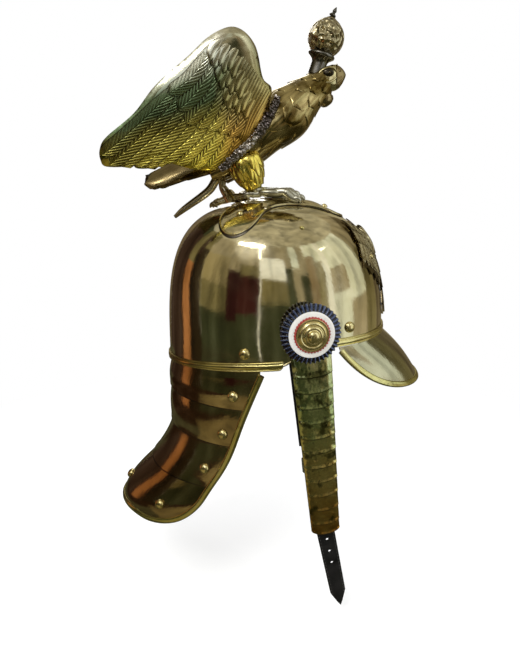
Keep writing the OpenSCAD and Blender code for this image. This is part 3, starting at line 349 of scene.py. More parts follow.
# Lacquer, enamel, leather and thread
def coating(name, low, high, rough, coat=0.0, scale=30.0, bump=0.0, bump_scale=60.0, shine=0.5):
    m, tree, shader = new_finish(name)
    where = place_node(tree)
    drift = noise_node(tree, where, scale, 5.0, 0.6, 0.3)
    feed(tree, shader, {"Base Color": ramp_node(tree, drift, [(0.32, low), (0.68, high)]),
                        "Roughness": grey_ramp(tree, drift, [(0.3, rough[0]), (0.7, rough[1])]),
                        "Specular IOR Level": shine, "Coat Weight": coat, "Coat Roughness": 0.06})
    if bump > 0:
        grain = noise_node(tree, where, bump_scale, 4.0, 0.6)
        feed(tree, shader, {"Normal": bump_node(tree, grain, bump, 0.001)})
    return m


def pleated_finish(dark, light):
    """Lacquer on a ring with radial flutes, one side of each flute lighter as a painted highlight:
    the u of the ring's UVs runs round it once.
    """
    m, tree, shader = new_finish("pleated black lacquer with painted glints")
    turn = sum_node(tree, "MULTIPLY", part_of(tree, map_node(tree), "X"), math.tau * RING_FLUTES)
    # painted highlight and shade: each flute is light on one side and black on the other
    ridge = sum_node(tree, "COSINE", sum_node(tree, "ADD", turn, 0.9))
    tint = ramp_node(tree, shifted(tree, ridge, 1.0, 0.5), [(0.55, dark), (0.95, light)])
    feed(tree, shader, {"Base Color": tint, "Roughness": 0.12, "Coat Weight": 0.8, "Coat Roughness": 0.05})
    return m


RING_FLUTES = 40
black_gloss = coating("black lacquer", (0.006, 0.007, 0.012), (0.020, 0.024, 0.042), (0.10, 0.20), 1.0)
pleated_black_glints = pleated_finish((0.002, 0.002, 0.004), (0.055, 0.075, 0.14))
white_enamel = coating("white enamel", (0.62, 0.60, 0.54), (0.80, 0.79, 0.74), (0.22, 0.36), 0.3)
red_enamel = coating("red enamel", (0.22, 0.020, 0.014), (0.42, 0.045, 0.028), (0.28, 0.45), 0.2)
black_leather = coating("black leather", (0.005, 0.005, 0.005), (0.014, 0.013, 0.012), (0.42, 0.60), 0.0,
                        60.0, 0.5, 900.0, 0.22)
brown_leather = coating("brown leather", (0.14, 0.075, 0.040), (0.24, 0.135, 0.075), (0.42, 0.62), 0.0,
                        40.0, 0.5, 700.0)
thread = coating("waxed thread", (0.035, 0.032, 0.030), (0.075, 0.070, 0.062), (0.6, 0.8), 0.0, 200.0)


# Shaping
def blank():
    """Empty shape with a UV map."""
    bm = bmesh.new()
    bm.loops.layers.uv.new("UVMap")
    return bm


def grid_of(columns, rows, place):
    """Grid whose point at (u, v), each from 0 to 1, goes to place(u, v)."""
    bm = blank()
    bmesh.ops.create_grid(bm, x_segments=columns, y_segments=rows, size=0.5, calc_uvs=True)
    for v in bm.verts:
        v.co = place(v.co.x + 0.5, v.co.y + 0.5)
    bmesh.ops.remove_doubles(bm, verts=bm.verts, dist=0.004)
    return bm


def face_out(bm, towards=None):
    """Turns an open surface so that its faces look along towards, or away from their middle."""
    middle = sum((v.co for v in bm.verts), Vector()) / len(bm.verts)
    total = 0.0
    for f in bm.faces:
        d = towards if towards is not None else f.calc_center_median() - middle
        total += f.normal.dot(d) * f.calc_area()
    if total < 0:
        bmesh.ops.reverse_faces(bm, faces=bm.faces)


def thicken(bm, depth, towards=None):
    bm.normal_update()
    face_out(bm, towards)
    # sharp folds may not throw a point further out than the sheet's own thickness
    reach = 1.5 * depth
    low = [min(v.co[i] for v in bm.verts) - reach for i in range(3)]
    high = [max(v.co[i] for v in bm.verts) + reach for i in range(3)]
    bmesh.ops.solidify(bm, geom=bm.verts[:] + bm.edges[:] + bm.faces[:], thickness=depth)
    for v in bm.verts:
        v.co = [max(low[i], min(high[i], v.co[i])) for i in range(3)]
    return bm


def close_up(bm):
    """Fills open ends and turns all faces outwards."""
    rim = [e for e in bm.edges if e.is_boundary]
    if rim:
        bmesh.ops.holes_fill(bm, edges=rim, sides=0)
    bmesh.ops.recalc_face_normals(bm, faces=bm.faces)
    return bm


def join(bm, other):
    """Adds another bmesh to bm."""
    mesh = bpy.data.meshes.new("joined")
    other.to_mesh(mesh)
    other.free()
    bm.from_mesh(mesh)
    bpy.data.meshes.remove(mesh)


def joined(shapes):
    bm = blank()
    for shape in shapes:
        join(bm, shape)
    return bm


def cut_up(bm, axis, places):
    """Cuts a flat shape across one axis at some places, so that it can follow a curved surface."""
    normal = [float(i == axis) for i in range(3)]
    for place in places:
        spot = [place * n for n in normal]
        bmesh.ops.bisect_plane(bm, geom=bm.verts[:] + bm.edges[:] + bm.faces[:], dist=0.001, plane_co=spot,
                               plane_no=normal)


def break_edges(bm, angle, width):
    """Bevels the edges that are sharper than an angle in radians."""
    sharp = [e for e in bm.edges if len(e.link_faces) == 2 and e.calc_face_angle(0) > angle]
    bmesh.ops.bevel(bm, geom=sharp, offset=width, offset_type="OFFSET", segments=2, profile=0.5,
                    affect="EDGES", material=-1, clamp_overlap=True)
    return bm


def ring_edges(bm, ring):
    return [bm.edges.new(pair) for pair in zip(ring, ring[1:] + ring[:1])]


def piece(name, bm, finish, body, slot_name, nodes=(), sharp=38):
    """Makes the shape an object at the origin, in metres, that rides on a body and stands for its nodes."""
    bmesh.ops.scale(bm, vec=(UNIT, UNIT, UNIT), verts=bm.verts)
    mesh = bpy.data.meshes.new(name)
    bm.to_mesh(mesh)
    bm.free()
    mesh.shade_smooth()
    mesh.set_sharp_from_angle(angle=math.radians(sharp))
    mesh.materials.append(finish)
    obj = bpy.data.objects.new(name, mesh)
    bpy.context.scene.collection.objects.link(obj)
    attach(obj, body)
    if nodes:
        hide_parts(*nodes)


def stand_in(name, bm, finish, body, slot_name, sharp=38):
    """Piece that stands for the node of its own name."""
    piece(name, bm, finish, body, slot_name, [name], sharp)


def shell_brass(name, bm, finish, sharp=38):
    """Piece of the shell that stands for the node of its own name."""
    stand_in(name, bm, finish, "shell", "brass", sharp)


def eagle_brass(name, bm, finish, nodes=(), sharp=38):
    piece(name, bm, finish, "eagle", "antique_brass", nodes, sharp)


def sweep(loop, count, place, closed=False):
    """Loop of section points carried along: place(u, a, b) puts section point (a, b) at u."""
    n = len(loop)

    def at(u, v):
        a, b = loop[round(v * n) % n]
        return place(u, a, b)

    bm = grid_of(count, n, at)
    if closed:
        bmesh.ops.recalc_face_normals(bm, faces=bm.faces)
        return bm
    return close_up(bm)


def lathe(profile, turns=48):
    """Profile of (radius, height) turned round Z."""
    bm = blank()
    points = [bm.verts.new((r, 0, z)) for r, z in profile]
    edges = [bm.edges.new(pair) for pair in zip(points, points[1:])]
    bmesh.ops.spin(bm, geom=points + edges, cent=(0, 0, 0), axis=(0, 0, 1), angle=math.tau,
                   steps=turns, use_merge=True)
    bmesh.ops.remove_doubles(bm, verts=bm.verts, dist=0.004)
    return close_up(bm)


def aim(point, normal):
    """Matrix that puts local Z along normal at point."""
    return Matrix.Translation(Vector(point)) @ Vector(normal).to_track_quat("Z", "Y").to_matrix().to_4x4()


def placed(bm, matrix):
    bmesh.ops.transform(bm, matrix=matrix, verts=bm.verts)
    return bm


def mirrored(bm):
    """The same shape on the other side of the middle plane."""
    bmesh.ops.scale(bm, vec=(1, -1, 1), verts=bm.verts)
    bmesh.ops.reverse_faces(bm, faces=bm.faces)
    return bm


def oval_loop(count, half_w, half_h, power=1.0):
    """Closed section: an oval, squarer with a power under 1."""
    out = []
    for i in range(count):
        c, s = cosd(360 * i / count), sind(360 * i / count)
        out.append((half_w * math.copysign(abs(c) ** power, c), half_h * math.copysign(abs(s) ** power, s)))
    return out


def path_frame(path, f, up):
    """Point of a smooth path with its sideways and upward directions."""
    p = curve_at(path, f)
    d = (curve_at(path, min(1, f + 0.01)) - curve_at(path, max(0, f - 0.01))).normalized()
    side = Vector(up).cross(d).normalized()
    return p, side, d.cross(side)


def tube(path, side, rise=None, up=(0, 0, 1), around=24, rows=24, power=1.0):
    """Oval tube along a smooth path, closed at both ends. It is round where rise isn't given."""
    path = [Vector(p) for p in path]
    rise = rise or side
    loop = oval_loop(around, 1.0, 1.0, power)

    def place(u, a, b):
        p, s, w = path_frame(path, u, up)
        return p + s * (a * curve_at(side, u)) + w * (b * curve_at(rise, u))

    return sweep(loop, rows, place)


def ball(centre, size, segments=24):
    bm = bmesh.new()
    bmesh.ops.create_uvsphere(bm, u_segments=segments, v_segments=segments // 2, radius=1.0, calc_uvs=False)
    bmesh.ops.scale(bm, vec=size, verts=bm.verts)
    return placed(bm, Matrix.Translation(Vector(centre)))


# Skull, visor and guard surfaces
SKULL_FRONT, SKULL_REAR, SKULL_SIDE, SKULL_HEIGHT = 112.0, 110.0, 93.0, 154.0
SHEET, GAP = 1.2, 0.3
EDGE_FRONT, EDGE_SIDE, EDGE_REAR = 28.0, 12.4, 0.5
EAR_FRONT, EAR_REAR = 74.0, 88.0


def rear_edge_z(t):
    return EDGE_REAR + (EDGE_SIDE - EDGE_REAR) * max(0.0, 1 + cosd(t)) ** 0.6


def edge_z(t):
    a = abs((t + 180) % 360 - 180)
    if a > EAR_REAR:
        return rear_edge_z(a)
    return EDGE_FRONT + (rear_edge_z(EAR_REAR) - EDGE_FRONT) * ease((a - EAR_FRONT) / (EAR_REAR - EAR_FRONT))


def skull_power(t):
    """Roundness of the skull's outline at angle t from the front."""
    return 3.15 - 0.25 * cosd(t)


def skull_at(t, z, off=0.0):
    n = skull_power(t)
    h = max(0.0, min(1.0, z / (SKULL_HEIGHT + off)))
    s = (1 - h ** n) ** (1 / n)
    a = (SKULL_FRONT if cosd(t) >= 0 else SKULL_REAR) + off
    return Vector((a * s * cosd(t), (SKULL_SIDE + off) * s * sind(t), z))


def skull_rise(t, q, off=0.0):
    n = skull_power(t)
    top = SKULL_HEIGHT + off
    low = math.degrees(math.asin((max(0.0, edge_z(t)) / top) ** (n / 2)))
    f = low + (90 - low) * q
    return skull_at(t, top * sind(f) ** (2 / n), off)


def skull_z(x, y, off=0.0):
    t = math.degrees(math.atan2(y, x))
    n = skull_power(t)
    a = (SKULL_FRONT if cosd(t) >= 0 else SKULL_REAR) + off
    s = min(1.0, math.hypot(x / a, y / (SKULL_SIDE + off)))
    return (SKULL_HEIGHT + off) * max(0.0, 1 - s ** n) ** (1 / n)


def skull_normal(t, z):
    a = skull_at(t + 0.5, z) - skull_at(t - 0.5, z)
    return a.cross(skull_at(t, z + 0.5) - skull_at(t, z - 0.5)).normalized()


def skull_t_of_x(x, z):
    t = math.degrees(math.acos(x / SKULL_FRONT))
    for _ in range(6):
        n = skull_power(t)
        a = SKULL_FRONT if x >= 0 else SKULL_REAR
        s = (1 - (z / SKULL_HEIGHT) ** n) ** (1 / n)
        t = math.degrees(math.acos(max(-1, min(1, x / (a * s)))))
    return t


def skull_t_of_y(y, z):
    t = math.degrees(math.asin(max(-1, min(1, y / SKULL_SIDE))))
    for _ in range(6):
        n = skull_power(t)
        s = (1 - (z / SKULL_HEIGHT) ** n) ** (1 / n)
        t = math.degrees(math.asin(max(-1, min(1, y / (SKULL_SIDE * s)))))
    return t


VISOR_TOP, VISOR_HALF, VISOR_REACH, VISOR_DROP = 27.4, 60.0, 97.0, 49.4
VISOR_CORNER = skull_at(VISOR_HALF, VISOR_TOP)


def visor_rim(t):
    a = 90 * t / VISOR_HALF
    z = -22 + VISOR_DROP * (abs(a) / 90) ** 4
    return Vector((VISOR_CORNER.x + VISOR_REACH * cosd(a), VISOR_CORNER.y * sind(a), z))


def visor_mid(t, k):
    p = skull_at(t, VISOR_TOP)
    w = 2.2 * sind(180 * k) * cosd(90 * t / VISOR_HALF)
    return p + (visor_rim(t) - p) * k + Vector((cosd(t), sind(t), 1)) * w


def visor_normal(t, k):
    a = visor_mid(t + 0.5, k) - visor_mid(t - 0.5, k)
    return (visor_mid(t, k + 0.02) - visor_mid(t, k - 0.02)).cross(a).normalized()


GUARD_SIDE, GUARD_FLARE = 93.5, 58.0


def guard_at(t, z, off=0.0):
    a = SKULL_REAR + 1 + GUARD_FLARE * ease(max(0.0, (-60 - z) / 108) ** 1.3)
    p = Vector((a * cosd(t), GUARD_SIDE * sind(t), z))
    return p + guard_normal(t, z) * off if off else p


def guard_normal(t, z):
    a = guard_at(t + 0.5, z) - guard_at(t - 0.5, z)
    return a.cross(guard_at(t, z + 0.5) - guard_at(t, z - 0.5)).normalized()


GUARD_RIM = [(180, -166), (166, -166), (152, -166.5), (141, -167), (131.5, -163), (124.5, -154), (120, -138),
             (117.2, -109), (107.5, -51), (96.5, 3)]


def rim_at(w):
    """Point of the guard's rim as an angle and a height, w knots from its middle at the back."""
    last = len(GUARD_RIM) - 1

    def knot(i):
        return Vector(GUARD_RIM[max(0, min(last, i))])

    i = min(last - 1, int(w))
    a = Vector((360 - knot(1).x, knot(1).y)) if i == 0 else knot(i - 1)
    return between(a, knot(i), knot(i + 1), knot(i + 2), w - i)


def side_angle(z):
    return profile_at([(y, x) for x, y in GUARD_RIM[5:]], z)


# Shell
skull = grid_of(176, 44, lambda u, v: skull_rise(360 * u, v))
thicken(skull, SHEET)

for side in (1, -1):
    # the rolled edge over each ear
    def ear_at(u, a, b, side=side):
        t = mix(57, 92, u)
        return skull_at(side * t, edge_z(t) + 1.0 + b, 0.2 + a)

    join(skull, sweep(oval_loop(10, 0.95, 1.1), 40, ear_at))
shell_brass("skull", skull, polished)

visor = grid_of(96, 16, lambda u, v: visor_mid(mix(-58.5, 58.5, u), 0.985 * v))
shell_brass("visor", thicken(visor, SHEET, Vector((0.4, 0, 1))), visor_brass)


def visor_trim_at(u, a, b):
    t = mix(-58.6, 58.6, u)
    p = visor_mid(t, 1)
    n = visor_normal(t, 0.98)
    w = n.cross(visor_rim(t + 0.5) - visor_rim(t - 0.5)).normalized()
    return p - n * (SHEET / 2) + w * a + n * b


TRIM_LOOP = [(a + 1.5, b) for a, b in oval_loop(20, 3.0, 1.72, 0.62)]
shell_brass("visor_trim", sweep(TRIM_LOOP, 120, visor_trim_at), trim_brass)

# Section of a raised strip: share of its height and distance off the skull
STRIP = [(0, 0.3), (0, 1.0), (0.03, 1.5), (0.09, 1.75), (0.15, 1.55), (0.18, 1.05), (0.23, 1.05), (0.28, 1.6),
         (0.38, 1.95), (0.5, 2.0), (0.62, 1.95), (0.72, 1.6), (0.77, 1.05), (0.82, 1.05), (0.85, 1.55),
         (0.91, 1.75), (0.97, 1.5), (1, 1.0), (1, 0.3)]


def visor_band_at(u, a, b):
    t = mix(-62, 62, u)
    return skull_at(t, EDGE_FRONT + 7.5 * a, b)


shell_brass("visor_band", sweep(STRIP, 120, visor_band_at), band_brass, 50)


def rear_band_at(u, a, b):
    t = mix(87, 273, u)
    end = min(t - 87, 273 - t) / 2.2
    cut = 2.6 * (1 - math.sqrt(max(0.0, 1 - (1 - min(1, end)) ** 2)))
    height = 6.6 + 2.0 * ease(1.2 * (1 + cosd(t)))
    return skull_at(t, rear_edge_z(t) - 3.4 + cut + (height - cut) * a, b)


shell_brass("rear_band", sweep(STRIP, 160, rear_band_at), band_brass, 50)

LAP, LAP_STEP, LAME_ENDS = 12.0, 1.8, (-31.0, -70.0, -116.0)


def lame_off(i, f, hold):
    start = 0.3 - LAP_STEP - (SHEET if i == 0 else 0.0)
    lip = 0.35 * ease((f - 0.93) / 0.05)
    return start + (0.3 - start) * f + 1.4 * sind(180 * max(0.0, f - hold) / (1 - hold)) + lip


def lame_start(i, t):
    return rear_edge_z(t) + 5 if i == 0 else LAME_ENDS[i - 1] + LAP


joints = []
for i, end in enumerate(LAME_ENDS):
    hold = LAP / (lame_start(i, 180) - end)

    def lame_at(u, v):
        s = side_angle(mix(lame_start(i, 100), end, v)) + 1.3
        t = mix(s, 360 - s, u)
        return guard_at(t, mix(lame_start(i, t), end, v), lame_off(i, v, hold))

    lame = thicken(grid_of(112, 22, lame_at), 1.0)
    shell_brass(f"neck_lame_{i + 1}", lame, guard_brass)

    def joint_at(u, a, b, end=end):
        s = side_angle(end) + 1.6
        return guard_at(mix(s, 360 - s, u), end - 0.45 + a, -0.35 + b)

    joints.append(sweep(oval_loop(8, 0.95, 0.75), 120, joint_at))


def last_lame_at(u, v):
    start, foot = LAME_ENDS[2] + LAP, GUARD_RIM[0][1]
    s = mix(1, -1, u)
    low = rim_at(abs(s) * 6.8)
    low = Vector((360 - low.x if s < 0 else low.x, low.y))
    high = Vector((180 - s * (180 - side_angle(start) - 1.3), start))
    e = Vector((low.x + (180 - low.x) * 0.02, low.y + 1.6))
    c = high + (e - high) * v
    return guard_at(c.x, c.y, lame_off(3, (start - c.y) / (start - foot), LAP / (start - foot)))


piece("neck_lame_joints", joined(joints), joint_and_shade_dark, "shell", "brass")
shell_brass("neck_lame_4", thicken(grid_of(112, 26, last_lame_at), 1.0), guard_brass)


def guard_trim_at(u, a, b):
    last = len(GUARD_RIM) - 1
    w = abs(mix(-last, last, u))
    s = 1 if u < 0.5 else -1

    def spot(v, sign):
        r = rim_at(max(0.0, min(last, v)))
        return (r.x if sign > 0 else 360 - r.x), r.y

    p, n = guard_at(*spot(w, s), -0.7), guard_normal(*spot(w, s))
    ahead, behind = (spot(w - 0.05, s), spot(w + 0.05, s)) if w > 0.05 else (spot(0.05, -s), spot(0.05, s))
    d = guard_at(*ahead, -0.7) - guard_at(*behind, -0.7)
    d = d if s > 0 else -d
    q = n.cross(d).normalized()
    if w < 0.05:
        q = Vector((0, 0, 1))
        q = (q - n * q.dot(n)).normalized()
    return p + q * a + n * b


GUARD_LOOP = [(a + 1.75, b) for a, b in oval_loop(20, 3.2, 2.85, 0.72)]
shell_brass("neck_guard_trim", sweep(GUARD_LOOP, 180, guard_trim_at), trim_brass)


DOME = ((1, 0), (0.995, 0.1), (0.93, 0.28), (0.78, 0.46), (0.55, 0.61), (0.28, 0.695), (0, 0.72))
RIVET_R = 5.2


def dome_profile(r, from_z, grip=None):
    """Half section of a domed rivet: its head, and with a grip its shank and inner washer too."""
    head = [(r * wide, from_z + high * r) for wide, high in DOME]
    if grip is None:
        return [(0, from_z)] + head
    return [(0, -grip - 1), (0.75 * r, -grip - 1), (0.75 * r, -grip), (1.6, -grip), (1.6, from_z)] + head


def rivet_set(matrices, r, grip):
    return joined(placed(lathe(dome_profile(r, GAP, grip), 32), m) for m in matrices)


def both_sides(matrix):
    flip = Matrix.Scale(-1, 4, (0, 1, 0))
    return [matrix, flip @ matrix @ flip]


seats = []
for x, z in ((-29, 24), (68, 45)):
    t = skull_t_of_x(x, z)
    seats += both_sides(aim(skull_at(-t, z), skull_normal(-t, z)))
shell_brass("skull_rivets", rivet_set(seats, RIVET_R, SHEET + 4.4 + 2.2 + GAP), rivet_brass)
seats = []
for t, z in ((111, -18), (117, -58), (125, -98), (137.5, -146)):
    seats += both_sides(aim(guard_at(t, z, 1.1), guard_normal(t, z)))
seats.append(aim(guard_at(180, -147, 1.1), guard_normal(180, -147)))
shell_brass("neck_guard_rivets", rivet_set(seats, RIVET_R, 3.9), rivet_brass)

# Front plate
# Half of the badge's outline as (y, z)
BADGE = [(0, 136), (5, 139), (9, 135), (17, 131), (27, 140), (29, 133), (31, 126), (38, 118), (40, 111),
         (45, 106), (49, 97), (43, 96), (41, 89), (34, 91), (33, 82), (27, 86), (25, 76), (19, 78), (15, 68),
         (21, 57), (14, 53), (17, 44), (8, 46), (0, 39)]


def badge_at(y, z, h=0.0):
    """Point of the badge, h out from its back."""
    return skull_at(skull_t_of_y(y, z), z, 0.5 + h)


def badge_swell(y, z):
    """Relief of the plate itself: a raised body and wings that fall to a thin rim."""
    body = max(0.0, 1 - (abs(y) / 11) ** 2) * ease((z - 52) / 14) * ease((139 - z) / 12)
    wing = max(0.0, 1 - ((abs(y) - 26) / 17) ** 2) * ease((z - 78) / 16) * ease((138 - z) / 12)
    return 1.1 * body + 0.7 * wing


plate = blank()
outline = BADGE + [(-y, z) for y, z in reversed(BADGE[1:-1])]
plate.faces.new([plate.verts.new((y, z, 0)) for y, z in outline])
cut_up(plate, 0, [4.0 * k for k in range(-12, 13)])
cut_up(plate, 1, [4.0 * k for k in range(10, 35)])
for v in plate.verts:
    y, z = v.co.x, v.co.y
    v.co = badge_at(y, z, 1.0 + badge_swell(y, z) * 0.5)
FORWARDS = Vector((1, 0, 0.2))
thicken(plate, 1.0, FORWARDS)


def leaf_half(v, blunt):
    """Half width of a feather at share v of its length, of 1 at its widest."""
    grow = math.sin(math.pi / 2 * min(1.0, 0.35 + v / 0.55))
    return grow * math.sqrt(max(0.0, 1 - max(0.0, (v - blunt) / (1 - blunt)) ** 2))


def feather(at, across, along, arch, ridge, tip, thick, towards):
    """Arched feather with a raised shaft. at(s, v, h): s from -1 to 1 across, v along it, h over its bed."""

    def place(u, v):
        s = 2 * u - 1
        lift = arch * (1 - s * s) * (0.35 + 0.65 * v) + ridge * max(0.0, 1 - abs(s) / 0.3)
        return at(s * leaf_half(v, tip), v, lift)

    return thicken(grid_of(across, along, place), thick, towards)


def badge_feather(bm, y, z, length, width, angle, h):
    """Feather on the badge from (y, z), angle in degrees from straight down, outwards."""

    def at(s, v, lift):
        d, w = length * v, width / 2 * s
        across, down = d * sind(angle) + w * cosd(angle), d * cosd(angle) - w * sind(angle)
        return badge_at(y + across, z - down, h + lift)

    join(bm, feather(at, 4, 7, 0.5, 0.25, 0.7, 0.4, FORWARDS))


relief = blank()
# Rows of the badge's wing feathers: count, then first and last y, z, length and angle, then width and height
BADGE_ROWS = ((7, (31, 12), (127, 112), (30, 31), (32, 14), 6.6, 1.5),
              (6, (30, 11), (133, 117), (17, 15), (30, 12), 6.2, 2.1),
              (5, (28, 11), (137.5, 122), (9, 9), (26, 10), 5.6, 2.6))
for side in (1, -1):
    for count, ys, zs, lengths, angles, width, high in BADGE_ROWS:
        for k in range(count):
            y, z, length, angle = (mix(*ends, k / (count - 1)) for ends in (ys, zs, lengths, angles))
            badge_feather(relief, side * y, z, length, width, side * angle, high)
    badge_feather(relief, side * 6, 66, 15, 7.5, side * 38, 1.8)  # leg and foot
    badge_feather(relief, side * 14, 57, 11, 3.4, side * 4, 2.2)
    for k in range(3):  # tail
        badge_feather(relief, side * (1.5 + 2.4 * k), 60, 19 - 2.6 * k, 5.2, side * (6 + 9 * k),
                      1.8 - 0.15 * k)
for row in range(7):  # breast
    z = 112 - 8 * row
    for k in range(-1, 2):
        shift = 2.8 if row % 2 and k <= 0 else 0
        badge_feather(relief, k * 5.6 + shift, z, 10.5, 6.4, k * 8, 2.5)
neck = tube([badge_at(0, 104, 2.0), badge_at(0.5, 115, 3.0), badge_at(1, 124, 3.0), badge_at(3, 129.5, 3.0)],
            [6.5, 5.6, 4.6, 4.2], [2.6, 2.8, 2.6, 2.4], (1, 0, 0.3), 16, 16)
join(relief, neck)
join(relief, tube([badge_at(5, 130, 3.0), badge_at(9, 130, 3.0), badge_at(11.5, 127.5, 2.6)],
                  [2.6, 1.8, 0.4], [2.0, 1.5, 0.5], (1, 0, 0.3), 12, 10))
join(relief, ball(badge_at(4.4, 131, 4.6), (0.7, 0.9, 0.9), 10))
join(plate, relief)
shell_brass("front_plate", plate, plate_feather)
seats = []
for y, z in ((0, 60), (-30, 104), (30, 104)):
    t = skull_t_of_y(y, z)
    seats.append(aim(skull_at(t, z), skull_normal(t, z)))
STUD = [(0, -3.9), (3.2, -3.9), (3.2, -2.1), (1.6, -2.1), (1.6, 2.4)] + dome_profile(2.6, 2.4)
studs = joined(placed(lathe(STUD, 24), m) for m in seats)
shell_brass("front_plate_studs", studs, rivet_brass)

# Crest base
BASE_X, LOBE, LOBE_W, WAIST, SOCKET_R, STUD_BORE = -6.0, 75.0, 40.0, 30.0, 15.0, 4.3


def lobe_reach(a):
    d = abs((a + 60) % 120 - 60)
    w = LOBE_W / 2
    c = LOBE - w
    arm = (c * cosd(d) + math.sqrt(max(0.0, w * w - (c * sind(d)) ** 2))
           if d < math.degrees(math.atan2(w, c)) else w / sind(d))
    return (arm ** 4 + WAIST ** 4) ** 0.25 - 1.9


def base_z(x, y):
    q = math.hypot(x - BASE_X, y) / lobe_reach(math.degrees(math.atan2(y, x - BASE_X)))
    return skull_z(x, y) + GAP + 1.2 + 3.2 * ease((0.84 - q) / 0.3)


def base_xy(a, f):
    inner = Vector((cosd(a), sind(a))) * (SOCKET_R + GAP)
    return inner + (Vector((BASE_X, 0)) + Vector((cosd(a), sind(a))) * lobe_reach(a) - inner) * f


def base_at(u, v):
    p = base_xy(360 * u, v)
    return Vector((p.x, p.y, base_z(p.x, p.y) - 0.5 * ease((v - 0.97) / 0.03)))


base = thicken(grid_of(168, 26, base_at), 1.1, Vector((0, 0, 1)))


def base_rim_at(u, a, b):
    p = base_xy(360 * u, 1.0)
    d = Vector((cosd(360 * u), sind(360 * u)))
    q = p + d * (a - 0.9)
    return Vector((q.x, q.y, base_z(p.x, p.y) - 0.15 + b))


join(base, sweep(oval_loop(14, 1.35, 1.3), 240, base_rim_at, True))
shell_brass("crest_base", base, base_brass)


def base_shadow_at(u, a, b):
    p = base_xy(360 * u, 1.0)
    q = p + Vector((cosd(360 * u), sind(360 * u))) * (a - 0.2)
    return Vector((q.x, q.y, skull_z(q.x, q.y) + 0.45 + b))


# painted shadow: dark line in the joint under the rolled edge
base_shadow = sweep(oval_loop(8, 1.5, 0.5), 240, base_shadow_at, True)
piece("crest_base_shadow", base_shadow, joint_and_shade_dark, "shell", "brass")
seats = []
for a in (0, 120, 240):
    x, y = BASE_X + 55.5 * cosd(a), 55.5 * sind(a)
    d = Vector((2, 0, base_z(x + 1, y) - base_z(x - 1, y)))
    e = Vector((0, 2, base_z(x, y + 1) - base_z(x, y - 1)))
    seats.append(aim((x, y, base_z(x, y)), d.cross(e).normalized()))
shell_brass("crest_base_rivets", rivet_set(seats, 3.2, 4.2), rivet_brass)
SOCKET_TOP = 159.6
socket = lathe([(STUD_BORE, 154.3), (12, 154.3), (12, 156.6), (12.8, 157.3), (14.4, 157.7), (15, 158.3),
                (15, 159.0), (14.5, 159.5), (13.6, SOCKET_TOP), (STUD_BORE, SOCKET_TOP),
                (STUD_BORE, 154.3)], 72)
shell_brass("crest_socket", socket, base_brass)

# Cockades
POST_X, POST_Z, POST_YAW, SCALE_LEAN, POST_BORE = 28.0, 46.0, 10.0, 6.0, 3.1
post_t = skull_t_of_x(POST_X, POST_Z)
# At a post: local X forward along the skull, Y out of it on the right side, Z up
POST_RIGHT = (Matrix.Translation(skull_at(-post_t, POST_Z)) @ turned(POST_YAW, "Z")
              @ Matrix.Scale(-1, 4, (0, 1, 0)))
STRAP_RIGHT = POST_RIGHT @ turned(-SCALE_LEAN, "Y")
OUTWARDS = turned(-90, "X")


def on_side(bm, matrix, side):
    """Puts a shape on the right side by its matrix, and mirrors it for the left side."""
    placed(bm, matrix)
    if side == "left":
        bmesh.ops.scale(bm, vec=(1, -1, 1), verts=bm.verts)
    bmesh.ops.recalc_face_normals(bm, faces=bm.faces)
    return bm


def on_post(bm, side):
    """Puts a shape drawn with Z out of the skull on the post of one side."""
    return on_side(bm, POST_RIGHT @ OUTWARDS, side)


def fluted(count, rings, depth, steps):
    """Ring with radial flutes. rings are (radius, height, share of the depth) from the back to the top."""

    def at(u, v):
        r, h, share = rings[round(v * (len(rings) - 1))]
        wave = 0.5 - 0.5 * math.cos(math.tau * u * count)
        a = 360 * u
        cut = depth * share * wave
        return Vector(((r - cut * 0.35) * cosd(a), (r - cut * 0.35) * sind(a), h - cut))

    return close_up(grid_of(count * steps, len(rings) - 1, at))


def raised(points, height):
    """Profile points, lifted."""
    return [(p[0], height + p[1], *p[2:]) for p in points]


# Profiles over the back of each ring as (radius, height), some with the share of the flutes' depth
RING_BACK, RING_T, MIDDLE_T, DISC_T = 10.1, 3.6, 1.5, 1.2
RING_SHAPE = [(POST_BORE, 0, 0), (26.0, 0, 0.1), (27.6, 0.4, 0.7), (27.9, 1.2, 1.0), (27.3, 2.2, 1.0),
              (25.8, 3.0, 1.0), (24.0, 3.5, 0.9), (22.4, 3.6, 0.35), (21.6, RING_T, 0),
              (POST_BORE, RING_T, 0)]
MIDDLE_SHAPE = [(POST_BORE, 0), (20.6, 0), (21, 0.4), (20.9, 1.0), (20.2, 1.4), (19, MIDDLE_T),
                (POST_BORE, MIDDLE_T)]
DISC_SHAPE = [(POST_BORE, 0, 0), (16.7, 0, 0.9), (16.8, 0.5, 1.0), (16.2, 1.0, 0.8), (15.4, DISC_T, 0.1),
              (POST_BORE, DISC_T, 0)]
BOSS_SHAPE = [(POST_BORE, 0), (14.6, 0), (15, 0.4), (14.7, 0.9), (13.6, 1.0), (12.9, 0.9), (12.5, 1.5),
              (11.9, 2.5), (11.0, 2.9), (10.2, 2.7), (9.7, 2.3), (9.2, 2.5), (8.7, 3.4), (7.9, 4.2),
              (6.9, 4.4), (6.1, 4.2), (5.6, 4.5), (5.2, 5.6), (4.4, 6.7), (3.2, 7.5), (1.7, 7.88), (0, 7.95)]
POST_SHAPE = [(0, -5), (6, -5), (6, -2), (3, -2), (3, 0.4), (5.4, 0.4), (5.4, 2.1), (3, 2.1), (3, 4.7),
              (5.4, 4.7), (5.4, 10.05), (3, 10.05), (3, 20.4), (0, 20.4)]
DISC_LOOKS = {"right": (red_enamel, "red_enamel"), "left": (black_gloss, "black_gloss")}
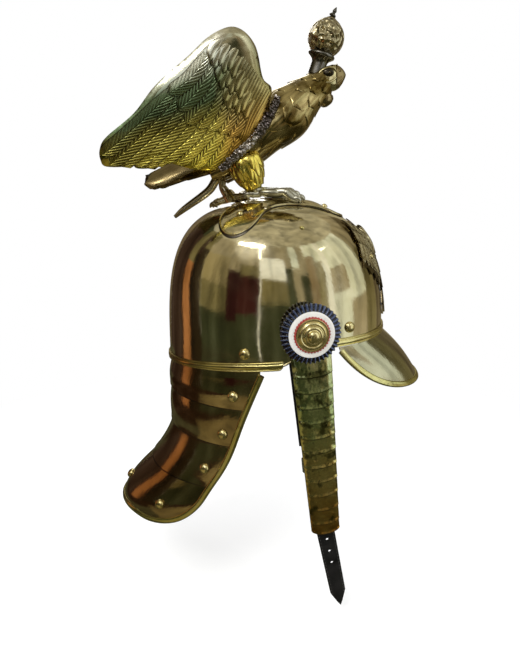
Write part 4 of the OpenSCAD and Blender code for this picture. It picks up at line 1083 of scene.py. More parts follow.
for side in ("right", "left"):
    back = RING_BACK
    ring = fluted(RING_FLUTES, raised(RING_SHAPE, back), 2.3, 8)
    stand_in(f"cockade_ring_{side}", on_post(ring, side), pleated_black_glints, "shell", "black_gloss", 60)
    back += RING_T
    middle = lathe(raised(MIDDLE_SHAPE, back), 96)
    stand_in(f"cockade_middle_{side}", on_post(middle, side), white_enamel, "shell", "white_enamel")
    back += MIDDLE_T
    disc = fluted(36, raised(DISC_SHAPE, back), 1.0, 6)
    finish, slot_name = DISC_LOOKS[side]
    stand_in(f"cockade_disc_{side}", on_post(disc, side), finish, "shell", slot_name, 60)
    back += DISC_T
    shell_brass(f"boss_{side}", on_post(lathe(raised(BOSS_SHAPE, back), 96), side), rivet_brass)
    stand_in(f"post_{side}", on_post(lathe(POST_SHAPE, 48), side), steel, "shell", "steel")

# Chin scales
STRAP_BACK, LEATHER = 2.4, 2.0
STRAP_FRONT = STRAP_BACK + LEATHER
SCALE_TOP, SCALE_PITCH, SCALE_COUNT, SCALE_LAP = 22.0, 15.4, 12, 5.0
STRAP_END = SCALE_TOP + SCALE_COUNT * SCALE_PITCH
# First and last scale of each run, and from where to where its leather goes
RUNS = {"upper": (0, 3, 12.3, 82.3), "middle": (4, 7, 82.8, 143.9), "lower": (8, 11, 144.4, 204.8)}


def strap_w(d):
    return 38.0 - 10.0 * max(0.0, d - SCALE_TOP) / (STRAP_END - SCALE_TOP)


def on_strap(bm, side):
    """Puts a shape drawn with X forward, Y outwards and Z up, at the post, on the strap of one side."""
    return on_side(bm, STRAP_RIGHT, side)


# Section of a scale: share of its half width, and height over the leather
SCALE_SHAPE = [(-1.0, 0.35), (-0.93, 1.3), (-0.76, 2.15), (-0.70, 2.42), (-0.64, 2.55), (-0.30, 2.97),
               (-0.25, 3.0), (0.25, 3.0), (0.30, 2.97), (0.64, 2.55), (0.70, 2.42), (0.76, 2.15), (0.93, 1.3),
               (1.0, 0.35)]
SCALE_POINTS = len(SCALE_SHAPE) - 1


def scale_curl(x):
    """How far the lower edge curls up towards its corners."""
    return 3.0 * abs(x) ** 2.4


def scale_long(k):
    return SCALE_PITCH + (0 if k == SCALE_COUNT - 1 else SCALE_LAP)


def chin_scale(k):
    top, long = SCALE_TOP + k * SCALE_PITCH, scale_long(k)

    def at(u, v):
        x, h = SCALE_SHAPE[round(u * SCALE_POINTS)]
        d = top + v * long
        lip = 0.55 * ease((v - 0.84) / 0.1) - 0.35 * ease((v - 0.95) / 0.05)
        y = STRAP_FRONT + GAP + h + 1.6 * v + lip - 0.35
        return Vector((strap_w(d) / 2 * x, y, scale_curl(x) * v - d))

    return thicken(grid_of(SCALE_POINTS, 20, at), 0.75, Vector((0, 1, 0)))


def scale_pin(k):
    """Pin that holds a scale on the leather."""
    pin = lathe([(0, 2.3), (1.5, 2.3), (1.5, 7.4), (0, 7.4)], 12)
    depth = SCALE_TOP + k * SCALE_PITCH + 0.4 * scale_long(k)
    return placed(pin, Matrix.Translation((0, 0, -depth)) @ OUTWARDS)


def scale_shadow(k):
    """Dark line under the lower edge of a scale, on the scale below."""
    d = SCALE_TOP + k * SCALE_PITCH + SCALE_PITCH + SCALE_LAP + 0.35

    def at(u, a, b):
        x, h = SCALE_SHAPE[round(u * SCALE_POINTS)]
        return Vector((strap_w(d) / 2 * x * 0.985, STRAP_FRONT + GAP + h + 0.42 + b, scale_curl(x) - d + a))

    return sweep(oval_loop(8, 0.5, 0.35), SCALE_POINTS, at)


def leather_strip(start, end, half_at, front=STRAP_FRONT, back=STRAP_BACK, rows=24):
    """Flat strap with rounded edges, from depth start to depth end."""
    mid, half_t = (front + back) / 2, (front - back) / 2

    def at(u, a, b):
        d = mix(start, end, u)
        x = half_at(d) * a
        return Vector((x - math.copysign(min(half_t, abs(x)) * 0.25 * (1 - abs(a)), a), mid + half_t * b, -d))

    return sweep(oval_loop(28, 1.0, 1.0, 0.35), rows, at)


HANGER_HALF = 7.0
HANGER_EYE = [(POST_BORE, STRAP_BACK), (11.6, STRAP_BACK), (12, STRAP_BACK + 0.4), (12, STRAP_FRONT - 0.4),
              (11.6, STRAP_FRONT), (POST_BORE, STRAP_FRONT), (POST_BORE, STRAP_BACK)]
HANGER_PIN = [(0, STRAP_BACK), (1.6, STRAP_BACK), (1.6, STRAP_FRONT + 1.2), (0, STRAP_FRONT + 1.2)]
for side in ("right", "left"):
    for run, (first, last, start, end) in RUNS.items():
        body = f"scales_{run}_{side}_body"
        metal_scales, shade = blank(), blank()
        for k in range(first, last + 1):
            join(metal_scales, chin_scale(k))
            join(metal_scales, scale_pin(k))
            if k < last:
                join(shade, scale_shadow(k))
        bmesh.ops.recalc_face_normals(metal_scales, faces=metal_scales.faces)
        piece(f"chin_scales_{run}_{side}", on_strap(metal_scales, side), scale_finish, body, "scale_brass",
              [f"scales_{run}_{side}"], 24)
        piece(f"scale_shadows_{run}_{side}", on_strap(shade, side), joint_and_shade_dark, body, "scale_brass")
        backing = leather_strip(start, end, lambda d: strap_w(d) / 2)
        piece(f"scale_leather_{run}_{side}", on_strap(backing, side), black_leather, body, "black_leather")
    hanger = placed(lathe(HANGER_EYE, 56), OUTWARDS)
    join(hanger, leather_strip(6.0, 37.0, lambda d: HANGER_HALF, STRAP_FRONT + 0.8, STRAP_FRONT, 10))
    for x in (-4.5, 4.5):
        join(hanger, placed(lathe(HANGER_PIN, 20), Matrix.Translation((x, 0, -30)) @ OUTWARDS))
    stand_in(f"scale_hanger_{side}", on_strap(hanger, side), trim_brass, f"scales_upper_{side}_body", "brass")

# Leather tongue and buckle
TONGUE_START, TONGUE_L, TONGUE_W, TONGUE_TIP = 207.04, 92.0, 18.0, 18.0
TONGUE = Matrix.Translation((0, STRAP_BACK + LEATHER / 2, -TONGUE_START)) @ turned(-6, "Y")
HOLES = (10.0, 24.0, 38.0)


def tongue_half(d):
    """Half width of the tongue at depth d below its start: straight, then a blunt point."""
    if d < TONGUE_L - TONGUE_TIP:
        return mix(TONGUE_W / 2, TONGUE_W / 2 - 1, max(0, d) / (TONGUE_L - TONGUE_TIP))
    f = min(1.0, (d - TONGUE_L + TONGUE_TIP) / TONGUE_TIP)
    return (TONGUE_W / 2 - 1) * max(0.0, 1 - f) ** 0.88


def punched_strap(half_at, length, holes, hole_r, depth):
    """Strap in its own plane, X across and Z down, punched through and then given its thickness."""
    bm = blank()
    rows = [length * i / 46 for i in range(47)]
    rim = [(half_at(d), -d) for d in rows] + [(-half_at(d), -d) for d in reversed(rows[:-1])]
    edges = ring_edges(bm, [bm.verts.new((x, 0, z)) for x, z in rim])
    for d in holes:
        edges += ring_edges(bm, [bm.verts.new((hole_r * cosd(15 * i), 0, -d + hole_r * sind(15 * i)))
                                 for i in range(24)])
    bmesh.ops.triangle_fill(bm, use_beauty=True, use_dissolve=False, edges=edges, normal=(0, 1, 0))
    return break_edges(thicken(bm, depth, Vector((0, 1, 0))), 1.0, 0.3)


tongue = punched_strap(tongue_half, TONGUE_L, HOLES, 1.5, LEATHER)
placed(tongue, Matrix.Translation((0, LEATHER / 2, 0)))
join(tongue, tube([(-9, 0, 0), (0, 0, 0), (9, 0, 0)], [1.0] * 3, None, (0, 0, 1), 16, 6))
placed(tongue, TONGUE)
stand_in("tongue_right", on_strap(tongue, "right"), black_leather, "tongue_body", "black_leather")
stitches = blank()
for side in (1, -1):
    for k in range(19):
        d = 3.5 + 3.9 * k
        x = side * (tongue_half(d + 1.2) - 1.7)
        for y in (LEATHER / 2 + 0.02, -LEATHER / 2 - 0.02):
            join(stitches, ball((x, y, -d - 1.2), (0.32, 0.22, 1.15), 6))
piece("tongue_stitches", on_strap(placed(stitches, TONGUE), "right"), thread, "tongue_body", "black_leather")

# Leather liner
# Section of the sweatband: height and distance off the skull
BAND = [(6, -5.6), (6.8, -5.25), (20, -5.6), (50, -5.6), (71.2, -5.3), (72, -5.6), (72, -7.8), (50, -7.8),
        (20, -7.8), (6, -7.8)]


def band_at(u, a, b):
    t = 360 * u
    return skull_at(t, max(edge_z(t) + 6, a) if a < 30 else a, b)


band = sweep(BAND, 144, band_at, True)
stand_in("sweatband", band, brown_leather, "shell", "brown_leather", 45)

# Eagle: wings
WING_OUTLINE = [(0, 21), (-9, 31), (-15, 51), (-20, 60), (-28, 67), (-38, 70), (-49, 67), (-62, 59),
                (-76, 46), (-105, 21), (-124, -2), (-148, -22), (-154, -32), (-154, -41), (-149, -47),
                (-126, -46), (-109, -39), (-100, -41), (-76, -48), (-51, -49), (-28, -31), (-8, -8)]
WING = Matrix.Translation((-6, -24, 235)) @ turned(18, "Z") @ turned(10, "X")
WING_MID = -2.0


def smooth_ring(points, steps):
    """Closed smooth line through the points."""
    n = len(points)
    out = []
    for i in range(n):
        knots = [Vector(points[(i + k) % n]) for k in (-1, 0, 1, 2)]
        out += [between(*knots, j / steps) for j in range(steps)]
    return out


WING_EDGE = smooth_ring(WING_OUTLINE, 6)


def edge_distance(p, q):
    best = 1e9
    for a, b in zip(WING_EDGE, WING_EDGE[1:] + WING_EDGE[:1]):
        d = b - a
        f = max(0.0, min(1.0, ((p - a.x) * d.x + (q - a.y) * d.y) / d.length_squared))
        best = min(best, math.hypot(p - a.x - d.x * f, q - a.y - d.y * f))
    return best


def wing_swell(p, q):
    """Height of the wing's surface over its middle plane: rounded at the edge, fullest near the wrist."""
    d = edge_distance(p, q)
    round_edge = math.sqrt(max(0.0, 1 - (1 - min(1.0, d / 11.0)) ** 2))
    fullness = 0.55 + 0.45 * ease((q + 50) / 90)
    return 5.0 * round_edge * fullness


def wing_at(p, q, h, face):
    """Point h off the wing's middle plane; face is -1 outside and 1 inside."""
    return WING @ Vector((p, WING_MID + face * h, q))


def wing_panel():
    bm = blank()
    bm.faces.new([bm.verts.new((e.x, e.y, 0)) for e in WING_EDGE])
    cut_up(bm, 0, [5.0 * k + 1 for k in range(-32, 1)])
    cut_up(bm, 1, [5.0 * k + 1 for k in range(-10, 15)])
    return bm


wing_heights = {}


def swell_at(p, q):
    key = (round(p, 1), round(q, 1))
    if key not in wing_heights:
        wing_heights[key] = wing_swell(*key)
    return wing_heights[key]


def wing_shell():
    both = blank()
    for face in (-1, 1):
        bm = wing_panel()
        for v in bm.verts:
            p, q = v.co.x, v.co.y
            h = 0.0 if v.is_boundary else swell_at(p, q) * (1.0 if face < 0 else 0.6)
            v.co = wing_at(p, q, h + 0.4, face) if not v.is_boundary else wing_at(p, q, 0.0, face)
        join(both, bm)
    bmesh.ops.remove_doubles(both, verts=both.verts, dist=0.01)
    bmesh.ops.recalc_face_normals(both, faces=both.faces)
    return both


def wing_feather(bm, root, tip, width, lift, face, bend, tilt, across, along, blunt, arch, ridge, fade=0.0):
    """Feather laid on the wing from root to tip. bend bows it sideways, tilt raises its upper side."""
    root, tip = Vector(root), Vector(tip)
    d = tip - root
    n = Vector((-d.y, d.x)).normalized()
    long = d.length

    def at(u, v):
        s = 2 * u - 1
        side = s * leaf_half(v, blunt) * width / 2
        c = root + d * v + n * (bend * math.sin(math.pi * v) + side)
        seat = swell_at(c.x, c.y) * (1.0 if face < 0 else 0.6) + lift + tilt * s * 0.5
        h = arch * (1 - s * s) * (0.4 + 0.6 * v) + ridge * max(0.0, 1 - abs(s) / 0.22)
        return wing_at(c.x, c.y, seat + h * (1 - fade * v), face)

    leaf = grid_of(across, along, at)
    layer = leaf.loops.layers.uv.active
    for f in leaf.faces:
        for loop in f.loops:
            loop[layer].uv.y *= long / 62
    join(bm, thicken(leaf, 0.7, WING.to_3x3() @ Vector((0, face, 0))))


def wing_feathers(face):
    bm = blank()
    # long flight feathers, from the trailing edge up to the leading edge
    flights = [((-30, -10), (-44, -45.5), 13), ((-37, -8), (-58, -48.5), 13), ((-44, -7), (-73, -47.5), 13),
               ((-51, -5), (-88, -44.5), 13), ((-58, -3), (-101, -41.5), 13), ((-66, 0), (-113, -41), 13),
               ((-73, 4), (-125, -44.5), 13), ((-79, 9), (-137, -46.5), 13), ((-84, 15), (-147, -45.5), 13),
               ((-88, 21), (-152.5, -37), 12)]
    for k, (root, tip, w) in enumerate(flights):
        wing_feather(bm, root, tip, w + 1.5, 0.35 + 0.10 * k, face, 1.5, 0.8, 6, 16, 0.88, 0.55, 0.12, 0.5)
    # curved middle feathers
    middles = [((-30, 6), (-40, -19), 12), ((-37, 12), (-49, -17), 12), ((-44, 18), (-60, -14.5), 12.5),
               ((-50, 25), (-70, -12.5), 13), ((-55, 32), (-80, -9.5), 13.5), ((-59, 39), (-87, 2), 13.5),
               ((-62, 47), (-95, 15), 12)]
    for k, (root, tip, w) in enumerate(middles):
        wing_feather(bm, root, tip, w + 1.5, 1.3 + 0.14 * k, face, 3.4, 1.0, 6, 13, 0.80, 0.9, 0.15)
    return bm


def wing_coverts(face):
    bm = blank()
    # fine long strands down the shoulder, fanned towards the body
    for k in range(13):
        f = k / 12
        wing_feather(bm, (mix(-29, -3, f), mix(47, 20, f)), (mix(-45, -25, f), mix(-8, -27, f)), 5.4,
                     1.3 - 0.04 * k, face, -3.2, 0.5, 4, 12, 0.8, 0.7, 0.1)
    # soft drops under the wrist
    for r in range(6):
        for k in range(3):
            x, y = -51 + 3.4 * r + 7.2 * k, 59 - 8.4 * r - 3.0 * k + (2.5 if r % 2 else 0)
            a = math.radians(118 - 4 * k)
            wing_feather(bm, (x, y), (x + 19 * math.cos(a), y - 19 * math.sin(a)), 8.4, 1.5 + 0.18 * (5 - r),
                         face, -2.2, 0.8, 5, 9, 0.66, 1.7, 0.2)
    return bm


for side in ("right", "left"):
    shell = wing_shell()
    feathers = wing_feathers(-1)
    join(feathers, wing_feathers(1))
    coverts = wing_coverts(-1)
    join(coverts, wing_coverts(1))
    parts = (("wing", shell, cast_wing), ("wing_feathers", feathers, cast_feather),
             ("wing_coverts", coverts, cast_covert))
    for word, bm, finish in parts:
        if side == "left":
            mirrored(bm)
        eagle_brass(f"eagle_{word}_{side}", bm, finish, [f"eagle_wing_{side}"] if word == "wing" else (), 44)

# Eagle: body and head
SPINE = [Vector(p) for p in ((-64, 0, 182), (-48, 0, 190), (-28, 0, 206), (-9, 0, 225), (11.4, 0, 239.1),
                             (26, 0, 251.9), (37, 0, 260.3), (47, 0, 268.2), (55, 0, 271))]
BODY_SIDE = [9, 16, 24, 27, 25, 18.5, 13.5, 11.5, 8]
BODY_RISE = [7, 12, 18, 23, 24.4, 18.5, 14.5, 12, 10.5]


def body_at(f, a, h=0.0):
    """Point of the body: f along it from the tail, a round it in degrees from the top to the right side."""
    p, s, w = path_frame(SPINE, f, (0, 0, 1))
    side, rise = curve_at(BODY_SIDE, f) + h, curve_at(BODY_RISE, f) + h
    return p - s * (side * sind(a)) + w * (rise * cosd(a))


ROUND = [(360 * i / 40, 0) for i in range(40)]  # degrees round a body or head
body = sweep(ROUND, 60, lambda u, a, b: body_at(u, a, -0.6))
eagle_brass("eagle_body", body, cast_body, ["eagle_body"], 60)

plumage = blank()
for row in range(11):
    f = 0.90 - 0.076 * row
    girth = curve_at(BODY_SIDE, f) + curve_at(BODY_RISE, f)
    count = max(6, round(girth / 5.4))
    long = mix(0.13, 0.17, row / 10)
    for k in range(count):
        a0 = 360 * (k + (0.5 if row % 2 else 0)) / count
        half = 360 / count * 0.62

        def at(s, v, lift, f=f, a0=a0, half=half, long=long):
            return body_at(max(0.0, f - long * v), a0 + half * s, lift * 0.8 + 0.1)

        out = body_at(f, a0, 1.0) - body_at(f, a0, 0.0)
        join(plumage, feather(at, 6, 9, 2.0, 0.0, 0.5, 0.5, out))
eagle_brass("eagle_plumage", plumage, cast_body, (), 60)

# Eagle: cast seam between wing and body, dark with painted shade
SEAM_LINE = [(6, 17), (0, 4), (-5, -6), (-13, -17), (-24, -28), (-36, -39), (-47, -49)]
SEAM_SIDE, SEAM_RISE = [2.8, 4.2, 4.8, 5.0, 4.9, 4.6, 3.2], [1.6, 2.4, 2.8, 3.0, 2.8, 2.6, 1.6]


def seam_at(u, a, b, path):
    p, s, w = path_frame(path, u, (0, 1, 0))
    c = p + s * (a * curve_at(SEAM_SIDE, u)) + w * (b * curve_at(SEAM_RISE, u))
    lump = noise.noise(c * 0.34) + 0.6 * noise.noise(c * 0.9)
    return c + (c - p).normalized() * (1.5 * lump)


for side in ("right", "left"):
    path = [wing_at(p, q, 2.2, -1) for p, q in SEAM_LINE]
    seam = sweep(oval_loop(30, 1.0, 1.0), 110, lambda u, a, b, path=path: seam_at(u, a, b, path))
    for k in range(44):
        c = curve_at(path, 0.03 + 0.94 * k / 43)
        over = (WING.to_3x3() @ Vector((0.75, 0, -0.66))) * (2.8 * math.sin(2.4 * k))
        size = 1.2 + 0.5 * math.sin(5.1 * k)
        join(seam, ball(c + over + WING.to_3x3() @ Vector((0, -2.4, 0)), (size, 1.1, size), 8))
    if side == "left":
        mirrored(seam)
    eagle_brass(f"wing_seam_{side}", seam, seam_silver_shade)

# Side view of the head and blunt beak as x, upper z, lower z and half width
HEAD = ((38, 276.0, 254.0, 11.2), (44, 279.2, 257.0, 12.0), (49, 281.0, 258.0, 11.6),
        (53, 282.2, 258.4, 10.0), (57, 282.2, 259.2, 8.0), (60.5, 280.8, 261.4, 6.4),
        (63.4, 278.4, 265.4, 4.8), (65.4, 275.8, 269.4, 3.0), (66.3, 273.8, 272.0, 1.2))
# Lines on one side of the head as x and degrees from its top
BROW = ((39, 52), (43, 44), (47, 41), (51, 45), (54.6, 56), (56.6, 70))
CHEEK = ((41, 96), (45, 108), (49.5, 112), (54, 104), (57, 92))
MOUTH = ((54.5, 128), (58, 124), (61.5, 116), (64, 104))


def head_at(x, a, h=0.0):
    """Point of the head: a round it in degrees from the top to the right side."""
    top, low, side = (profile_at([(k[0], k[i]) for k in HEAD], x) for i in (1, 2, 3))
    c, r = (top + low) / 2, (top - low) / 2 + h
    s = sind(a)
    return Vector((x, -(side + h) * math.copysign(abs(s) ** 0.9, s), c + r * cosd(a)))


def head_skin(x0, x1, rows):
    return sweep(ROUND, rows, lambda u, a, b: head_at(mix(x0, x1, u), a))


head = head_skin(38, 57.5, 26)
for side in (1, -1):
    # brow ridge over the eye, down to the corner of the beak
    brow = [head_at(x, side * a, 0.3) for x, a in BROW]
    join(head, tube(brow, [0.7, 1.5, 1.9, 1.8, 1.3, 0.5], [0.6, 1.3, 1.7, 1.6, 1.1, 0.4], (0, 0, 1), 12, 26))
    cheek = [head_at(x, side * a, 0.1) for x, a in CHEEK]
    join(head, tube(cheek, [0.5, 1.1, 1.3, 1.1, 0.5], None, (0, 0, 1), 10, 22))
    join(head, ball(head_at(49.6, side * 70, 0.5), (1.5, 1.3, 1.2), 18))
eagle_brass("eagle_head", head, cast_plain)
# painted shade: dark ovals on the head where the eyes sit deep under the brow
eye_shade = joined(ball(head_at(48.8, side * 70, 0.15), (5.2, 1.3, 3.5), 22) for side in (1, -1))
eagle_brass("eagle_eye_shades", eye_shade, joint_and_shade_dark)
beak = head_skin(56.6, 66.3, 16)
for side in (1, -1):
    # line of the mouth, and the fold round the beak's root
    mouth = [head_at(x, side * a, 0.1) for x, a in MOUTH]
    join(beak, tube(mouth, [0.5, 0.9, 0.8, 0.3], None, (0, 0, 1), 10, 18))
    cere = [head_at(57.2, side * a, 0.25) for a in (4, 30, 60, 90, 118)]
    join(beak, tube(cere, [0.9] * 5, [0.8] * 5, (1, 0, 0), 10, 20))
    join(beak, ball(head_at(60, side * 62, 0.2), (1.3, 0.7, 0.8), 12))
beak_lower = tube([(40.5, 0, 251.5), (44, 0, 252.4), (48.5, 0, 252.6), (52.2, 0, 252.8), (55, 0, 253.4)],
                  [5.5, 7.4, 7.6, 5.8, 1.8], [6.8, 8.2, 8.0, 5.6, 1.8], (0, 0, 1), 26, 26)
join(beak, beak_lower)
eagle_brass("eagle_beak", beak, cast_tail, ["eagle_beak"])

# Eagle: tail, spur and legs
TAIL = Matrix.Translation((-50, 0, 196)) @ turned(180, "Z") @ turned(12, "Y")
tail = blank()
for k in (2, -2, 1, -1, 0):
    long = 80 - 2 * abs(k)
    turn = turned(-12 * k, "X") @ turned(8 * k, "Z")

    def at(s, v, lift, long=long, turn=turn, k=k):
        return TAIL @ turn @ Vector((long * v, 10.8 * s, 0.3 * abs(k) + lift))

    join(tail, feather(at, 8, 20, 2.0, 0.1, 0.87, 2.6, TAIL.to_3x3() @ turn.to_3x3() @ Vector((0, 0, 1))))
# broad rounded outer feathers that hang down at the sides
OUTER_FEATHERS = (((-56, 9, 192), (-97, 16, 180.5), 9.5, 0.9), ((-60, 15, 203), (-126, 20, 172), 10.5, 0.62))
for side in (-1, 1):
    for root, tip, w, lean in OUTER_FEATHERS:
        root, tip = (Vector((x, side * y, z)) for x, y, z in (root, tip))
        facing = Vector((0, side * (1 - lean * 0.45), lean)).normalized()
        along = (tip - root).normalized()
        over = along.cross(facing).normalized()

        def at(s, v, lift, root=root, tip=tip, w=w, over=over, facing=facing):
            return mix(root, tip, v) + over * (w * s) + facing * lift

        join(tail, feather(at, 8, 22, 2.2, 0.05, 0.84, 2.2, facing))
eagle_brass("eagle_tail", tail, cast_tail, ["eagle_tail"])
spur = tube([(-57, 0, 180), (-64, 0, 168.5), (-72, 0, 161.5), (-83, 0, 154), (-93, 0, 147), (-101, 0, 140.5)],
            [4.3, 4.2, 4.0, 3.6, 3.0, 1.8], None, (0, 0, 1), 20, 40)
eagle_brass("tail_spur", spur, cast_tan, ["tail_spur"])


def stand_z(x, y, r):
    return SOCKET_TOP + GAP if math.hypot(x, y) < SOCKET_R + r + 2 else base_z(x, y)


def on_base(x, y, r):
    """Middle of a rounded shape of radius r that stands on the crest base."""
    return Vector((x, y, stand_z(x, y, r) + 1.04 * r + 1.2))


def upwards(z):
    return Vector((0, 0, z))


TOE_SIDE, TOE_RISE = (1.1, 1, 0.96, 0.92, 0.8, 0.42), (1.05, 1, 0.94, 0.9, 0.85, 0.4)


def toe(bm, x, y, dx, dy, r):
    """Toe from (x, y) along (dx, dy), with two knuckles and a claw."""
    tip = on_base(x + dx, y + dy, 1.6)
    path = [on_base(x + dx * f, y + dy * f, r) for f in (0, 0.2, 0.4, 0.6, 0.8)] + [tip]
    path[0] += upwards(0.4)
    join(bm, tube(path, [r * k for k in TOE_SIDE], [r * k for k in TOE_RISE], (0, 0, 1), 16, 24))
    for f in (0.34, 0.64):
        join(bm, ball(curve_at(path, f), (3.4, r * 0.99, r * 1.02), 16))
    d = Vector((dx, dy, 0)).normalized()
    claw = [tip + d * ahead + upwards(up) for ahead, up in ((-6, 1.6), (-2, 3.0), (1, 1.8), (2.2, -1))]
    join(bm, tube(claw, [2.6, 2.9, 2.2, 0.6], None, (0, 0, 1), 12, 12))


def shank(bm, knee, ankle, heel, r):
    join(bm, tube([knee + upwards(3), knee, ankle, heel], [r * 1.15, r, r * 0.9, r * 1.35],
                  [r * 1.15, r, r * 0.9, r * 1.3], (1, 0, 0), 20, 22))


def thigh_plumes(bm, path, radii, count, rows):
    for row in range(rows):
        f0 = 0.05 + 0.62 * row / rows
        for k in range(count):
            a0 = 360 * (k + (0.5 if row % 2 else 0)) / count

            def at(s, v, lift, f0=f0, a0=a0):
                p, side, up = path_frame(path, min(1, f0 + 0.40 * v), (1, 0, 0))
                r = curve_at(radii, min(1, f0 + 0.40 * v)) + lift
                a = a0 + 360 / count * 0.6 * s
                return p + side * (r * cosd(a)) + up * (r * sind(a))

            out = at(0, 0.5, 5.0) - at(0, 0.5, 0.0)
            join(bm, feather(at, 5, 8, 2.2, 0.1, 0.4, 0.5, out))


# Each leg: hip, knee, ankle, foot, thigh radius, reach and spread of the toes, plumes round the thigh
LEGS = {"right": ((-30, -15, 193), (-19, -16, 168), (-14, -15, 167), (-10, -15), 16.5, 36, 7, 9),
        "left": ((-44, 12, 187), (-53, 14, 176), (-53, 14, 168), (-46, 14), 9.0, 26, 13, 7)}
LEG_LOOKS = {"right": (cast_plume, silvered, "silvered"), "left": (cast_tail, cast_tan, "antique_brass")}
for side, (hip, knee, ankle, foot, r, reach, apart, plumes) in LEGS.items():
    plume_finish, foot_finish, foot_slot = LEG_LOOKS[side]
    hip, knee, ankle = (Vector(p) for p in (hip, knee, ankle))
    path = [hip + (hip - knee) * 0.25, hip, mix(hip, knee, 0.5), mix(hip, knee, 0.85), knee]
    radii = [r * 0.8, r, r * 0.82, r * 0.52, r * 0.36]
    upper = tube(path, radii, None, (1, 0, 0), 24, 22)
    thigh_plumes(upper, path, radii, plumes, 3)
    eagle_brass(f"eagle_thigh_{side}", upper, plume_finish, (), 50)
    lower = blank()
    shank(lower, knee, ankle, on_base(*foot, 4.4), 4.0)
    if side == "left":
        shoe = on_base(*foot, 6.5)
        shoe_path = [ankle + upwards(1), mix(ankle, shoe, 0.4), mix(ankle, shoe, 0.75)]
        shoe_path.append(shoe - Vector((-2, 0, 4)))
        join(lower, tube(shoe_path, [4.1, 4.8, 7.0, 10.5], [4.1, 4.8, 6.4, 7.4], (1, 0, 0), 24, 24))
    for s in (-apart, 0, apart):
        toe(lower, *foot, reach - abs(s) * 0.6, s, 4.3)
    toe(lower, *foot, -18, 0, 4.0)
    join(lower, ball(on_base(foot[0] + 5, foot[1], 4.0), (13, 8.5, 4.6), 24))
    stand_in(f"eagle_leg_{side}", lower, foot_finish, "eagle", foot_slot)
plinth = lathe([(0, 159.9), (10.6, 159.9), (11, 160.3), (11, 162.1), (10.6, 162.5), (0, 162.5)], 48)
stand_in("eagle_plinth", plinth, silvered, "eagle", "silvered")

# Crown over the eagle's head
CROWN = Matrix.Translation((40, 0, 280)) @ turned(15, "Y")
collar = lathe([(0, -7), (8, -7), (7.6, 0), (7.3, 2.6), (7.5, 4.8), (8.6, 6.6), (11.0, 8.3), (12.4, 9.3),
                (12.8, 10.2), (12.7, 11.3), (12.0, 12.1), (11.2, 12.5), (0, 12.5)], 64)
stand_in("crown_stem", placed(collar, CROWN), crown_dark, "eagle", "silvered")
ORB_R = 17.0
ORB_MIDDLE = 12.65 + ORB_R * sind(50)
orb = lathe([(0, 12.7)] + [(ORB_R * cosd(a), ORB_MIDDLE + ORB_R * sind(a)) for a in range(-50, 44, 6)]
            + raised([(10.9, 12.9), (9.2, 14.6), (6.9, 16.0), (4.9, 17.2), (3.5, 18.3), (3.0, 18.6),
                      (0, 18.65)], ORB_MIDDLE), 72)
stand_in("crown_orb", placed(orb, CROWN), hammered, "eagle", "brass")
FINIAL = CROWN @ Matrix.Translation((0, 0, ORB_MIDDLE + 18.7)) @ turned(12, "Y")
finial = lathe([(0, -2), (1.35, -2), (1.4, 0.5), (2.9, 0.85), (3.35, 1.5), (3.2, 2.1), (2.2, 2.9),
                (1.45, 3.7), (1.5, 4.4), (1.95, 5.2), (1.9, 6.0), (1.5, 6.9), (0.95, 8.0), (0.5, 9.0),
                (0, 9.35)], 40)
stand_in("crown_finial", placed(finial, FINIAL), crown_dark, "eagle", "brass")

# Liner tongues and stitching
LINER_COUNT, LINER_OFF, LINER_T, LINER_ROOT, LINER_TIP = 10, 8.1, 1.6, 62.0, 81.0
LINER_HALF = 180 / LINER_COUNT - 1.6


def liner_at(a, s, f, off):
    """Point of the liner tongue at angle a: s from -1 to 1 across it, f from its root to its tip."""
    n = skull_power(a)
    top = SKULL_HEIGHT - off
    low = math.degrees(math.asin((LINER_ROOT / top) ** (n / 2)))
    end = math.sqrt(max(0.0, 1 - max(0.0, (f - 0.8) / 0.2) ** 2))
    half = LINER_HALF * (1 if f < 0.75 else 1 - 2.2 * (f - 0.75)) * mix(0.55, 1, end)
    return skull_at(a + half * s, top * sind(mix(low, LINER_TIP, f)) ** (2 / n), -off)


def stitch_at(where, along, long=1.3):
    """Stitch of waxed thread lying along a direction."""
    return placed(ball((0, 0, 0), (0.34, 0.34, long), 6), aim(where, along))


tongues, liner_thread = blank(), blank()
for i in range(LINER_COUNT):
    a = 360 * (i + 0.5) / LINER_COUNT
    leaf = grid_of(10, 22, lambda u, v, a=a: liner_at(a, 2 * u - 1, v, LINER_OFF + 0.05))
    out = Vector((cosd(a), sind(a), 0.3))
    join(tongues, thicken(leaf, LINER_T - 0.2, out))
    for k in range(11):
        s = -0.85 + 0.17 * k
        for f in (0.035, 0.065):
            spot = liner_at(a, s, f, LINER_OFF + LINER_T)
            join(liner_thread, stitch_at(spot, liner_at(a, s + 0.01, f, LINER_OFF + LINER_T) - spot))
stand_in("liner_tongues", tongues, brown_leather, "shell", "brown_leather")
BAND_INNER = -7.85
for k in range(120):
    t = 3 * k
    for z in (max(edge_z(t) + 8.6, 0), 58.0):
        spot = skull_at(t, z, BAND_INNER)
        join(liner_thread, stitch_at(spot, skull_at(t + 1, z, BAND_INNER) - spot))
piece("liner_stitches", liner_thread, thread, "shell", "brown_leather")

